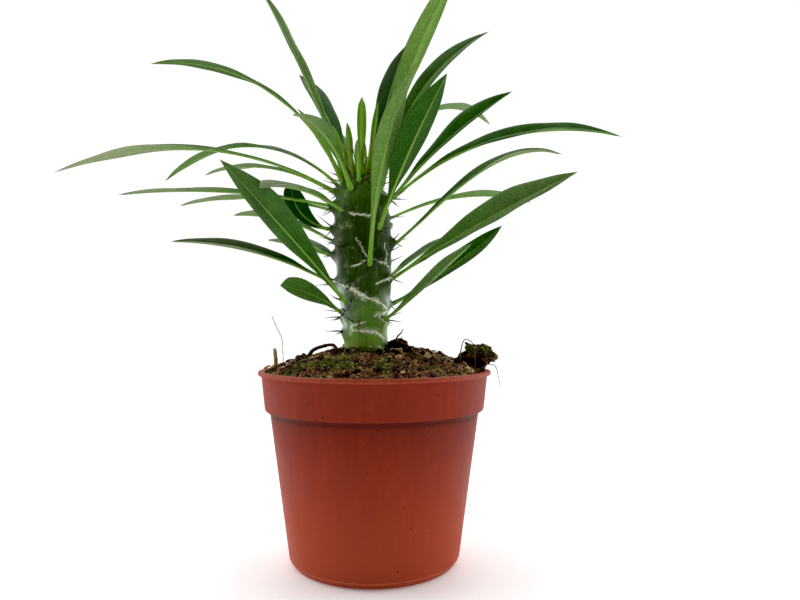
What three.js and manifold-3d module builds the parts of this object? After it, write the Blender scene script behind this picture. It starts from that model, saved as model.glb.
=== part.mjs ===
// A young Madagascar palm (pachypodium) growing in a round plastic nursery pot.
// Millimetres, +Z up. The origin is the middle of the pot's underside, and the plant's front faces -Y.
import * as THREE from 'three';
import { mergeVertices } from 'three/addons/utils/BufferGeometryUtils.js';
import Module from 'manifold-3d';

const wasm = await Module();
wasm.setup();
const { Manifold, Mesh: SolidMesh } = wasm;

// ---------- driving dimensions ----------
const gap = 0.3;                   // clearance kept between neighbouring pieces

// pot
const lipRadius = 60;              // over the rolled lip
const potHeight = 97;
const lipHeight = 2.2;
const lipOut = 1.7;                // how far the lip stands proud of the collar
const collarHeight = 19.5;         // from the collar's lower edge to the top of the lip
const collarTaper = 1.9;           // how much the collar narrows towards its lower edge
const collarStep = 2.6;            // how far the collar stands proud of the body
const collarChamfer = 1.6;         // height of the small slope under the collar
const footRadius = 43.7;           // body radius just above the foot bevel
const bevelHeight = 3.3;
const bevelIn = 2.4;
const potWall = 1.6;
const floorThickness = 2;
const drainHoles = 8;
const drainRadius = 3.5;
const drainRing = 28;              // radius of the ring of drain holes
const potSides = 48;

// soil
const moundHeight = 10;            // how high the soil stands above the lip where it meets the stem
const soilDrop = 1.5;              // how far the soil's edge lies below the top of the lip
const rootDepth = 22;              // how deep the stem goes into the soil

// stem
const stemX = -4.5;                // the stem stands a little off the pot's axis
const stemY = 0;
const stemHeight = 92;             // from the soil line to the crown
const stemRadius = 13.2;           // at the widest part of the green stem
const stemLean = 3;                // how far the crown leans towards -X
const tubercleHeight = 4.8;        // the knobs that carry leaves and spines
const tubercleSpread = 3.4;
const spineRadius = 0.55;
const spineLength = 9;

// leaves
const leafThickness = 1.1;         // at the midrib
const stalkWidth = 2.4;
const stalkShare = 0.1;            // share of a leaf's length that is bare stalk
const foldAngle = 13;              // each half of a blade lifts by this, which folds it into a shallow V
const leafRings = 11;

const degrees = Math.PI / 180;
const soilLine = potHeight + moundHeight - 2;

// ---------- helpers ----------
function geometryFrom(points, triangles) {
  const numbers = points.flatMap((point) => [point.x, point.y, point.z]);
  const geometry = new THREE.BufferGeometry();
  geometry.setAttribute('position', new THREE.Float32BufferAttribute(numbers, 3));
  geometry.setIndex(triangles);
  return geometry;
}

// Skins a row of rings that all have the same number of points and run counter-clockwise seen
// from the last ring, and closes both ends on a point.
function skin(first, rings, last) {
  const sides = rings[0].length;
  const points = [first, ...rings.flat(), last];
  const at = (ring, side) => 1 + ring * sides + (side % sides);
  const triangles = [];
  for (let side = 0; side < sides; side += 1) {
    triangles.push(at(0, side + 1), at(0, side), 0);
    for (let ring = 0; ring + 1 < rings.length; ring += 1) {
      triangles.push(at(ring, side), at(ring, side + 1), at(ring + 1, side + 1));
      triangles.push(at(ring, side), at(ring + 1, side + 1), at(ring + 1, side));
    }
    triangles.push(at(rings.length - 1, side), at(rings.length - 1, side + 1), points.length - 1);
  }
  return geometryFrom(points, triangles);
}

function toSolid(geometry) {
  const bare = geometry.clone();
  bare.deleteAttribute('normal');
  bare.deleteAttribute('uv');
  const merged = mergeVertices(bare, 1e-4);
  const index = merged.index.array;
  const kept = [];
  for (let i = 0; i < index.length; i += 3) {
    const [a, b, c] = [index[i], index[i + 1], index[i + 2]];
    if (a !== b && b !== c && c !== a) {
      kept.push(a, b, c);
    }
  }
  return new Manifold(new SolidMesh({
    numProp: 3,
    vertProperties: new Float32Array(merged.attributes.position.array),
    triVerts: new Uint32Array(kept),
  }));
}

function fromSolid(solid) {
  const mesh = solid.getMesh();
  const geometry = new THREE.BufferGeometry();
  geometry.setAttribute('position', new THREE.BufferAttribute(new Float32Array(mesh.vertProperties), 3));
  geometry.setIndex(new THREE.BufferAttribute(new Uint32Array(mesh.triVerts), 1));
  return geometry;
}

// A lathe profile is given as [radius, height] pairs and turned about +Z.
function turned(profile, sides) {
  const points = profile.map(([radius, height]) => new THREE.Vector2(radius, height));
  return new THREE.LatheGeometry(points, sides).rotateX(Math.PI / 2);
}

// A repeatable unevenness between -1 and 1, so that lumps and spines differ from each other.
function uneven(number) {
  const wave = Math.sin(number * 12.9898 + 4.1414) * 43758.5453;
  return 2 * (wave - Math.floor(wave)) - 1;
}

const plant = new THREE.Group();

function add(name, geometry, color, roughness) {
  const material = new THREE.MeshStandardMaterial({ color, roughness, metalness: 0 });
  const mesh = new THREE.Mesh(geometry, material);
  mesh.name = name;
  plant.add(mesh);
}

// ---------- pot ----------
const collarTop = lipRadius - lipOut;
const collarFoot = collarTop - collarTaper;
const bodyTop = collarFoot - collarStep;
const collarBase = potHeight - collarHeight;
const innerFoot = footRadius - potWall;
const innerBodyTop = bodyTop - potWall;
const innerCollar = collarFoot - potWall;
const innerMouth = collarTop - potWall;

function potShell() {
  const outside = [
    [0, 0],
    [footRadius - bevelIn, 0],
    [footRadius, bevelHeight],
    [bodyTop, collarBase - collarChamfer],
    [collarFoot, collarBase],
    [collarTop, potHeight - lipHeight],
    [lipRadius, potHeight - lipHeight + 0.3],
    [lipRadius, potHeight - 0.5],
    [lipRadius - 0.5, potHeight],
  ];
  const inside = [
    [innerMouth, potHeight],
    [innerCollar, collarBase + potWall],
    [innerBodyTop, collarBase - collarChamfer],
    [innerFoot, bevelHeight + floorThickness],
    [innerFoot - bevelIn, floorThickness],
    [0, floorThickness],
  ];
  let shell = toSolid(turned([...outside, ...inside], potSides));
  for (let i = 0; i < drainHoles; i += 1) {
    const turn = (i / drainHoles) * 2 * Math.PI;
    const drill = new THREE.CylinderGeometry(drainRadius, drainRadius, 4 * floorThickness, 12);
    drill.rotateX(Math.PI / 2).translate(drainRing * Math.cos(turn), drainRing * Math.sin(turn), 0);
    shell = shell.subtract(toSolid(drill));
  }
  return fromSolid(shell);
}

add('pot', potShell(), 0x9c4028, 0.6);

// ---------- stem ----------
// A share of 0 is the soil line and 1 is the crown.
function stemAxis(share) {
  return new THREE.Vector3(stemX - stemLean * Math.max(share, 0), stemY, soilLine + share * stemHeight);
}

// The bare stem narrows just above the soil, swells, and closes in a dome at the crown.
const stemProfile = [
  [-1, 0.8], [0, 0.87], [0.22, 0.84], [0.45, 0.96], [0.7, 1],
  [0.88, 0.98], [0.95, 0.82], [1, 0.56], [1.04, 0.26],
];

function bareRadius(share) {
  let upper = stemProfile.findIndex(([at]) => at >= share);
  upper = Math.max(upper === -1 ? stemProfile.length - 1 : upper, 1);
  const [[lowAt, low], [highAt, high]] = [stemProfile[upper - 1], stemProfile[upper]];
  return stemRadius * THREE.MathUtils.mapLinear(share, lowAt, highAt, low, high);
}

// Knobs are low on the old foot of the stem and on the young crown, and tallest between.
function tubercleAt(share) {
  const grown = THREE.MathUtils.smoothstep(share, 0.1, 0.4);
  const young = THREE.MathUtils.smoothstep(share, 0.85, 1);
  return tubercleHeight * THREE.MathUtils.lerp(0.45, 1, grown * (1 - 0.6 * young));
}

// ---------- leaves ----------
// Each leaf: azimuth round the stem (0 is +X, 90 the back, 270 the front), how far up the stem it
// grows in percent, how steeply it rises, how much it droops and sweeps sideways by its tip, its
// length and width, how far its blade is rolled, and how late its droop comes (1 is even).
const leafDefaults = { sweep: 0, roll: 0, late: 1, blunt: false };
const leaves = [
  { azimuth: 186, up: 94, rise: 27, droop: 54, length: 145, width: 13 },
  { azimuth: 152, up: 97, rise: 41, droop: 74, length: 144, width: 13, roll: 10 },
  { azimuth: 165, up: 101, rise: 62, droop: 66, length: 150, width: 12, roll: -8 },
  { azimuth: 150, up: 102, rise: 66, droop: 8, length: 140, width: 11 },
  { azimuth: 124, up: 101, rise: 60, droop: 22, length: 106, width: 14 },
  { azimuth: 253, up: 92, rise: 42, droop: 60, length: 70, width: 9 },
  { azimuth: 275, up: 102, rise: 84, droop: 6, length: 38, width: 5, blunt: true },
  { azimuth: 318, up: 98, rise: 73, droop: 28, length: 110, width: 12, roll: 15 },
  { azimuth: 66, up: 101, rise: 68, droop: 12, length: 107, width: 14 },
  { azimuth: 283, up: 50, rise: 71, droop: 20, sweep: 32, length: 97, width: 12 },
  { azimuth: 301, up: 70, rise: 52, droop: 16, length: 84, width: 17 },
  { azimuth: 25, up: 98, rise: 76, droop: 46, length: 122, width: 12, roll: -35 },
  { azimuth: 335, up: 88, rise: 45, droop: 20, length: 79, width: 16, roll: -50 },
  { azimuth: 5, up: 90, rise: 41, droop: 55, length: 136, width: 15, roll: -35 },
  { azimuth: 50, up: 99, rise: 64, droop: 80, length: 143, width: 12 },
  { azimuth: 355, up: 64, rise: 42, droop: 72, length: 101, width: 11, roll: -25, late: 3 },
  { azimuth: 35, up: 80, rise: 25, droop: 32, length: 112, width: 12 },
  { azimuth: 332, up: 43, rise: 29, droop: 8, length: 104, width: 18, roll: -55 },
  { azimuth: 320, up: 20, rise: 31, droop: -5, length: 63, width: 13, roll: -50 },
  { azimuth: 20, up: 29, rise: 28, droop: -14, length: 80, width: 12, roll: -40 },
  { azimuth: 236, up: 29, rise: 36, droop: 0, sweep: -6, length: 97, width: 17, roll: 85 },
  { azimuth: 238, up: 80, rise: 15, droop: 34, sweep: 8, length: 63, width: 11, roll: 20, blunt: true },
  { azimuth: 175, up: 72, rise: 12, droop: -85, length: 35, width: 12, roll: 60, blunt: true },
  { azimuth: 188, up: 85, rise: 10, droop: 19, length: 105, width: 11 },
  { azimuth: 163, up: 84, rise: 16, droop: 26, length: 96, width: 11 },
  { azimuth: 150, up: 93, rise: 32, droop: 43, length: 106, width: 12 },
  { azimuth: 155, up: 66, rise: 28, droop: 28, length: 71, width: 14 },
  { azimuth: 188, up: 41, rise: 27, droop: 29, length: 84, width: 13, roll: 25 },
  { azimuth: 215, up: 24, rise: 31, droop: 24, length: 36, width: 13, roll: 60, blunt: true },
  { azimuth: 178, up: 57, rise: 18, droop: 10, length: 34, width: 9 },
  { azimuth: 96, up: 103, rise: 70, droop: 20, length: 30, width: 6 },
  { azimuth: 92, up: 88, rise: 34, droop: 50, length: 118, width: 13 },
  { azimuth: 101, up: 76, rise: 30, droop: 40, length: 108, width: 13 },
  { azimuth: 84, up: 62, rise: 30, droop: 36, length: 98, width: 13 },
  { azimuth: 97, up: 45, rise: 30, droop: 30, length: 88, width: 14 },
  { azimuth: 88, up: 28, rise: 32, droop: 26, length: 70, width: 14 },
  { azimuth: 128, up: 52, rise: 26, droop: 24, length: 84, width: 13 },
  { azimuth: 50, up: 44, rise: 30, droop: 10, length: 72, width: 10 },
  { azimuth: 108, up: 96, rise: 52, droop: 50, length: 118, width: 13 },
  { azimuth: 240, up: 103, rise: 76, droop: -6, length: 25, width: 4 },
  { azimuth: 308, up: 103, rise: 80, droop: 4, length: 36, width: 3.6 },
  { azimuth: 222, up: 97, rise: 60, droop: 22, length: 42, width: 5 },
  { azimuth: 200, up: 103, rise: 78, droop: 10, length: 26, width: 4 },
  { azimuth: 340, up: 103, rise: 80, droop: 8, length: 30, width: 4 },
  { azimuth: 268, up: 97, rise: 58, droop: -30, length: 15, width: 3 },
  { azimuth: 12, up: 103, rise: 80, droop: 6, length: 28, width: 4 },
].map((leaf) => ({ ...leafDefaults, ...leaf }));

// A blade is widest past its middle, runs out to a sharp tip and down into the stalk.
function leafWidth(leaf, share) {
  const along = Math.max(share - stalkShare, 0) / (1 - stalkShare);
  const stalk = stalkWidth * (1 - 0.75 * share);
  const shape = leaf.blunt ? Math.sin(Math.PI * along ** 1.6) ** 0.6 : Math.sin(Math.PI * along ** 1.3);
  return stalk + (leaf.width - stalk) * shape;
}

function outward(azimuth) {
  return new THREE.Vector3(Math.cos(azimuth * degrees), Math.sin(azimuth * degrees), 0);
}

// The points along a leaf's midrib, with the directions of its blade at each.
function leafLine(leaf) {
  const share = leaf.up / 100;
  const reach = bareRadius(share) + tubercleAt(share) + gap;
  const point = stemAxis(share).addScaledVector(outward(leaf.azimuth), reach);
  const line = [];
  for (let ring = 0; ring <= leafRings; ring += 1) {
    const along = ring / leafRings;
    const elevation = (leaf.rise - leaf.droop * along ** (leaf.late)) * degrees;
    const heading = leaf.azimuth + leaf.sweep * along;
    const forward = outward(heading).multiplyScalar(Math.cos(elevation)).setZ(Math.sin(elevation));
    const across = outward(heading - 90);
    const above = new THREE.Vector3().crossVectors(across, forward);
    across.applyAxisAngle(forward, -leaf.roll * degrees);
    above.applyAxisAngle(forward, -leaf.roll * degrees);
    line.push({ point: point.clone(), across, above, along });
    point.addScaledVector(forward, leaf.length / leafRings);
  }
  return line;
}

function leafBlade(leaf) {
  const line = leafLine(leaf);
  const rings = line.slice(1, -1).map(({ point, across, above, along }) => {
    const half = leafWidth(leaf, along) / 2;
    const thick = leafThickness * (1.2 - 0.7 * along) / 2;
    const fold = foldAngle * degrees * Math.min(1, Math.max(0, along - stalkShare) * 6);
    const margin = (side) => point.clone()
      .addScaledVector(across, side * half * Math.cos(fold))
      .addScaledVector(above, half * Math.sin(fold));
    return [margin(1), point.clone().addScaledVector(above, -thick), margin(-1),
      point.clone().addScaledVector(above, thick)];
  });
  return skin(line[0].point, rings, line[line.length - 1].point);
}

const leafLines = leaves.map(leafLine);
leaves.forEach((leaf, i) => {
  const number = String(i + 1).padStart(2, '0');
  add(`leaf_${number}`, leafBlade(leaf), 0x3f7a35, 0.45);
});

// ---------- knobs and spines of the stem ----------
// A knob stands under every leaf. More knobs, left by leaves that have dropped, follow the same
// spiral down the stem wherever there is room between the others.
const goldenTurn = 137.5;
const spiralStart = { azimuth: 200, up: 13 };
const spiralRise = 1.6;            // percent of the stem's height from one knob to the next
const spiralKnobs = 48;
const knobRoom = 8;
const knobs = leaves.map(({ azimuth, up }) => ({ azimuth, up }));

function surfacePoint(azimuth, share, height) {
  return stemAxis(share).addScaledVector(outward(azimuth), bareRadius(share) + height);
}

function knobPlace({ azimuth, up }) {
  return surfacePoint(azimuth, up / 100, 0);
}

for (let i = 0; i < spiralKnobs; i += 1) {
  const azimuth = (spiralStart.azimuth + i * goldenTurn) % 360;
  const candidate = { azimuth, up: spiralStart.up + i * spiralRise };
  const place = knobPlace(candidate);
  if (knobs.every((knob) => knobPlace(knob).distanceTo(place) >= knobRoom)) {
    knobs.push(candidate);
  }
}

// How far the stem's skin stands out past its bare radius: the tallest knob felt at this place.
function knobbed(azimuth, share) {
  const here = surfacePoint(azimuth, share, 0);
  let tallest = 0;
  for (const knob of knobs) {
    const knobShare = knob.up / 100;
    const away = knobPlace(knob).distanceTo(here) / tubercleSpread;
    tallest = Math.max(tallest, tubercleAt(knobShare) * Math.exp(-away * away));
  }
  return tallest;
}

const stemSides = 30;
const stemRings = 36;
const stemFoot = -rootDepth / stemHeight;
const crownShare = 1.03;
const crownTip = 2;

function stemSkin(extra) {
  const rings = [];
  for (let ring = 0; ring <= stemRings; ring += 1) {
    const share = THREE.MathUtils.lerp(stemFoot, crownShare, ring / stemRings);
    const points = [];
    for (let side = 0; side < stemSides; side += 1) {
      const azimuth = (side / stemSides) * 360;
      points.push(surfacePoint(azimuth, share, knobbed(azimuth, share) + extra));
    }
    rings.push(points);
  }
  const top = stemAxis(crownShare).setZ(soilLine + crownShare * stemHeight + crownTip);
  const bottom = stemAxis(stemFoot).setZ(soilLine - rootDepth - extra);
  return skin(bottom, rings, top);
}

// Shortest distance from a straight spine to a leaf, less half the leaf's width where they pass.
function roomBeside(from, to, leaf, line) {
  let room = Infinity;
  const spine = new THREE.Line3(from, to);
  const nearest = new THREE.Vector3();
  for (const { point, along } of line) {
    spine.closestPointToPoint(point, true, nearest);
    room = Math.min(room, nearest.distanceTo(point) - leafWidth(leaf, along) / 2);
  }
  return room;
}

function spineCone(from, to) {
  const axis = to.clone().sub(from);
  const cone = new THREE.ConeGeometry(spineRadius, axis.length(), 5, 1);
  cone.translate(0, axis.length() / 2, 0);
  const turn = new THREE.Quaternion().setFromUnitVectors(new THREE.Vector3(0, 1, 0), axis.normalize());
  return cone.applyQuaternion(turn).translate(from.x, from.y, from.z);
}

// Each knob carries a pair of long spines, spread to the sides, and a short one below them. No two
// knobs carry quite the same set: each spine turns, lifts and lengthens by a little.
const spineTurn = 14;
const spineLift = 20;
const spineStretch = 0.25;
const spineApart = 1.1;            // how far each of a pair starts from the middle of its knob
const spineSeat = 0.45;            // share of a knob's height at which its spines start
const spineFan = [
  { aside: 38, lift: 14, reach: 1 },
  { aside: -38, lift: 10, reach: 1 },
  { aside: 6, lift: -32, reach: 0.55 },
];

function spines() {
  const cones = [];
  knobs.forEach((knob, knobIndex) => {
    const share = knob.up / 100;
    spineFan.forEach(({ aside, lift, reach }, fanIndex) => {
      const wobble = uneven(knobIndex * 3 + fanIndex);
      const heading = knob.azimuth + aside + spineTurn * wobble;
      const steep = (lift + spineLift * uneven(knobIndex * 5 + fanIndex + 0.5)) * degrees;
      const direction = outward(heading).multiplyScalar(Math.cos(steep)).setZ(Math.sin(steep));
      const from = surfacePoint(knob.azimuth, share, tubercleAt(share) * spineSeat);
      from.addScaledVector(outward(knob.azimuth + 90), Math.sign(aside) * spineApart);
      const inKnob = tubercleAt(share) * (1 - spineSeat);
      const free = reach * spineLength * (1 + spineStretch * wobble);
      const to = from.clone().addScaledVector(direction, inKnob + free);
      const rooms = leaves.map((leaf, i) => roomBeside(from, to, leaf, leafLines[i].slice(1)));
      if (Math.min(...rooms) >= spineRadius + gap) {
        cones.push(spineCone(from, to));
      }
    });
  });
  return cones;
}

function stemBody() {
  let body = toSolid(stemSkin(0));
  for (const cone of spines()) {
    body = body.add(toSolid(cone));
  }
  return body;
}

add('stem', fromSolid(stemBody()), 0x2f5a2b, 0.5);

// ---------- soil ----------
const soilEdge = potHeight - soilDrop;
const soilRadius = innerMouth - gap;
const humps = [
  { x: 27, y: 8, rise: 3, spread: 10 },
  { x: -22, y: 12, rise: 2, spread: 8 },
  { x: -46, y: -14, rise: 1.5, spread: 7 },
  { x: 42, y: -16, rise: 2, spread: 8 },
  { x: 4, y: -40, rise: 1.5, spread: 9 },
];

// The soil heaps up round the stem and falls to its edge just below the pot's lip.
function soilHeight(x, y) {
  const fromMiddle = Math.min(Math.hypot(x, y) / soilRadius, 1);
  const mound = (moundHeight + soilDrop) * (1 - fromMiddle ** 2) ** 0.8;
  let heaped = 0;
  for (const hump of humps) {
    const away = Math.hypot(x - hump.x, y - hump.y) / hump.spread;
    heaped += hump.rise * Math.exp(-away * away);
  }
  return soilEdge + mound + heaped * (1 - fromMiddle ** 6);
}

function soilRing(radius, height) {
  return Array.from({ length: potSides }, (_, side) => {
    const turn = (side / potSides) * 2 * Math.PI;
    return new THREE.Vector3(radius * Math.cos(turn), radius * Math.sin(turn), height);
  });
}

const soilTopRings = 9;
const crumbRise = 0.8;

function soilTop() {
  const rings = [];
  for (let ring = 0; ring < soilTopRings; ring += 1) {
    const radius = soilRadius * (1 - ring / soilTopRings);
    rings.push(soilRing(radius, 0).map((point, side) => {
      const crumb = ring === 0 ? 0 : crumbRise * uneven(ring * potSides + side);
      return point.setZ(soilHeight(point.x, point.y) + crumb);
    }));
  }
  return rings;
}

function soilMass() {
  const floor = floorThickness + gap;
  const rings = [
    soilRing(innerFoot - bevelIn - gap, floor),
    soilRing(innerFoot - gap, bevelHeight + floor),
    soilRing(innerBodyTop - gap, collarBase - collarChamfer),
    soilRing(innerCollar - gap, collarBase + potWall),
    ...soilTop(),
  ];
  return skin(new THREE.Vector3(0, 0, floor), rings, new THREE.Vector3(0, 0, soilHeight(0, 0)));
}

const stemClearance = toSolid(stemSkin(gap));
const soilBody = toSolid(soilMass()).subtract(stemClearance);
add('soil', fromSolid(soilBody), 0x3b241a, 0.95);

// ---------- litter on the soil ----------
// Every loose bit is trimmed where it sits, so that it rests just clear of the soil and the pot.
const soilLifted = toSolid(fromSolid(soilBody).translate(0, 0, gap));
const potLifted = toSolid(potShell().translate(0, 0, gap));

function addLitter(name, geometry, color) {
  const resting = toSolid(geometry).subtract(soilLifted).subtract(potLifted).subtract(stemClearance);
  add(name, fromSolid(resting), color, 0.9);
}

const lumpiness = 0.14;
const strandSides = 6;

function lump([x, y, z], [wide, deep, high], seed) {
  const ball = new THREE.IcosahedronGeometry(1, 2);
  ball.deleteAttribute('normal');
  ball.deleteAttribute('uv');
  const lumpy = mergeVertices(ball, 1e-4);
  const at = lumpy.attributes.position;
  for (let i = 0; i < at.count; i += 1) {
    const swell = 1 + lumpiness * uneven(seed + i);
    at.setXYZ(i, at.getX(i) * swell * wide, at.getY(i) * swell * deep, at.getZ(i) * swell * high);
  }
  return lumpy.translate(x, y, z);
}

function strand(points, radius) {
  const route = new THREE.CatmullRomCurve3(points.map((place) => new THREE.Vector3(...place)));
  const corners = Array.from({ length: strandSides }, (_, side) => {
    const turn = (side / strandSides) * 2 * Math.PI;
    return new THREE.Vector2(radius * Math.cos(turn), radius * Math.sin(turn));
  });
  const settings = { steps: 3 * points.length, extrudePath: route, bevelEnabled: false };
  return new THREE.ExtrudeGeometry(new THREE.Shape(corners), settings);
}

// Heights and distances of the litter are measured from the lip and from the stem.
const lip = potHeight;
const stemSide = stemX + stemRadius;

addLitter('soil_clod', lump([lipRadius - 6.5, -3, lip + 7], [8.5, 6, 7], 3), 0x3a2a1c);
addLitter('stem_side_clod', lump([stemSide + 4.6, -5, lip + 10], [4.6, 4.4, 6.4], 31), 0x332014);
addLitter('wood_chip', lump([stemSide + 2.5, -14, lip + 9.5], [2.2, 1.6, 1.8], 57), 0xb98a5a);
addLitter('moss_tuft', lump([stemX - 9, -30, lip + 7], [3.4, 3, 2.6], 71), 0x5e7d22);
addLitter('straw_stub', strand([
  [10 - lipRadius, -9, lip - 1],
  [9.6 - lipRadius, -9, lip + 6],
  [9 - lipRadius, -9, lip + 11.5],
], 1.3), 0xc29a63);
addLitter('straw_bit', strand([
  [5 - lipRadius, -14, lip + 1.5],
  [8 - lipRadius, -17, lip + 3],
  [11 - lipRadius, -21, lip + 1.5],
], 0.8), 0x8a6238);
addLitter('dry_stalk', strand([
  [13 - lipRadius, -6, lip - 1],
  [12.8 - lipRadius, -6, lip + 8],
  [12.2 - lipRadius, -6, lip + 16],
  [9.5 - lipRadius, -6, lip + 22],
  [6.8 - lipRadius, -6, lip + 28],
], 0.45), 0x4b3b2c);
addLitter('arched_root', strand([
  [25 - lipRadius, -10, lip + 1],
  [27.5 - lipRadius, -10, lip + 9],
  [34 - lipRadius, -10, lip + 12.5],
  [40 - lipRadius, -11, lip + 12.5],
  [42.5 - lipRadius, -13, lip + 5],
], 0.9), 0x2c1a10);
addLitter('looped_root', strand([
  [lipRadius - 16.5, -9, lip - 1],
  [lipRadius - 16, -9, lip + 9],
  [lipRadius - 14.2, -10, lip + 15.5],
  [lipRadius - 10.5, -11, lip + 14.5],
  [lipRadius - 9, -12, lip + 9],
  [lipRadius - 9, -12.5, lip - 1],
], 0.45), 0x6b4a2e);
addLitter('hanging_root', strand([
  [lipRadius - 6, -12.5, lip + 1],
  [lipRadius - 3, -13, lip + 3.4],
  [lipRadius + 1, -13.5, lip + 2.6],
  [lipRadius + 2.6, -14, lip - 3],
  [lipRadius + 3.6, -14, lip - 8],
], 0.4), 0x5a4a3a);

export default plant;
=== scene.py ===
# %% [markdown]
# # A young Madagascar palm in its nursery pot
# The plant is a pachypodium: a fat green stem set with knobs and spines, a crown of long
# glossy leaves, and a round plastic pot full of crumbly potting soil. The solid model gives
# every piece its place and size. Here each piece gets its fine surface and its finish.
# The solid model is loaded first, and nothing in it is moved: new pieces are built over it.

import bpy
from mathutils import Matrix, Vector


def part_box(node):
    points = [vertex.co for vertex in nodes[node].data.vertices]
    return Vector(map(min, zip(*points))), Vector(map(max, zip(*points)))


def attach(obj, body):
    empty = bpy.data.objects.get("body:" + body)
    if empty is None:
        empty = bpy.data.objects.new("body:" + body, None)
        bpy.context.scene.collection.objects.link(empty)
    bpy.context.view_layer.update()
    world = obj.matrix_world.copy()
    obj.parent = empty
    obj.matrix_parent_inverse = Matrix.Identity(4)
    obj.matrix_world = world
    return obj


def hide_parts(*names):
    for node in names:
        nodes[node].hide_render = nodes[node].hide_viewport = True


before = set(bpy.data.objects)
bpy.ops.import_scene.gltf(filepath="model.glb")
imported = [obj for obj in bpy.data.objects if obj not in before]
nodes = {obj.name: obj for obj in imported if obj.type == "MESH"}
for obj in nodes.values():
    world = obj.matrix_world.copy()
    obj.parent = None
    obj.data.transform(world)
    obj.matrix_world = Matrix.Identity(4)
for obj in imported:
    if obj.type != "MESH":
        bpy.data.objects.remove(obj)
print("nodes in the frame:", len(nodes))

# %% Tools and the box of the solid model
import math
import random

import bmesh
import bpy
import numpy as np
from mathutils import Matrix, Vector, noise
from mathutils.bvhtree import BVHTree

mm = 0.001
chance = random.Random(11)
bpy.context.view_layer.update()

# %% [markdown]
# ## Helpers for building
# Every piece of the plant is a mesh made from points and faces. A piece also carries marks:
# named numbers on its points, such as how far along a leaf a point lies. A finish reads the
# marks, so that a vein or a pale edge follows the piece however it bends. Painting by hand
# would also work, but marks keep the finish tied to the shape.

# %% Build a piece, and settle it on the frame
def build(name, points, faces, marks=None, smooth=True):
    mesh = bpy.data.meshes.new(name)
    mesh.from_pydata([tuple(point) for point in points], [], [tuple(face) for face in faces])
    for mark, values in (marks or {}).items():
        values = np.asarray(values, np.float32)
        kind, field = ("FLOAT", "value") if values.ndim == 1 else ("FLOAT_VECTOR", "vector")
        mesh.attributes.new(mark, kind, "POINT").data.foreach_set(field, values.ravel())
    mesh.polygons.foreach_set("use_smooth", [smooth] * len(mesh.polygons))
    mesh.update()
    piece = bpy.data.objects.new(name, mesh)
    bpy.context.scene.collection.objects.link(piece)
    return piece


def settle(piece, finish, slot, *stands_for):
    piece.data.materials.clear()
    piece.data.materials.append(finish)
    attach(piece, "root")
    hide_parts(*stands_for)
    return piece


# %% Read the frame's solids
def welded(node):
    solid = bmesh.new()
    solid.from_mesh(nodes[node].data)
    bmesh.ops.remove_doubles(solid, verts=solid.verts, dist=0.01 * mm)
    solid.verts.ensure_lookup_table()
    return solid


def feeler(node):
    mesh = nodes[node].data
    return BVHTree.FromPolygons([v.co for v in mesh.vertices], [p.vertices for p in mesh.polygons])


def unpacked(solid):
    """Corners and faces of a solid, which is then freed."""
    corners = [v.co.copy() for v in solid.verts]
    faces = [[v.index for v in f.verts] for f in solid.faces]
    solid.free()
    return corners, faces


def ball(subdivisions):
    solid = bmesh.new()
    bmesh.ops.create_icosphere(solid, subdivisions=subdivisions, radius=1)
    return unpacked(solid)


def noise_at(points, x, y, z):
    """Soft noise felt at each point, stretched by x, y and z."""
    return np.array([noise.noise(Vector((p[0] * x, p[1] * y, p[2] * z))) for p in points])


def heart_and_half(node):
    low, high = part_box(node)
    return (low + high) / 2, (high - low) / 2


def outward(azimuth):
    return Vector((math.cos(azimuth), math.sin(azimuth), 0))


def ring_faces(rows, sides):
    """Faces of a skin drawn as rows of rings, each with the same number of points."""
    faces = []
    for row in range(rows - 1):
        near, far = row * sides, (row + 1) * sides
        for side in range(sides):
            ahead = (side + 1) % sides
            faces.append((near + side, near + ahead, far + ahead, far + side))
    return faces


def end_faces(rows, sides):
    """Closes both ends of such a skin with a fan, to the two points that come after the rings."""
    faces, top, points = [], (rows - 1) * sides, rows * sides
    for side in range(sides):
        ahead = (side + 1) % sides
        faces.append((ahead, side, points))
        faces.append((top + side, top + ahead, points + 1))
    return faces


def smoothstep(low, high, value):
    share = np.clip((value - low) / (high - low), 0, 1)
    return share * share * (3 - 2 * share)


# %% [markdown]
# ## Helpers for finishes
# A finish is a small net of shader nodes. The class below writes the net in short calls:
# a pattern, a row of colours to pass it through, a blend, a bump. Colours are given as
# paint chart codes and turned into the linear light values that the shader wants.

# %% Finish maker
def shade(code):
    channels = [int(code[i:i + 2], 16) / 255 for i in (0, 2, 4)]
    linear = [c / 12.92 if c <= 0.04045 else ((c + 0.055) / 1.055) ** 2.4 for c in channels]
    return (*linear, 1)


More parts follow.
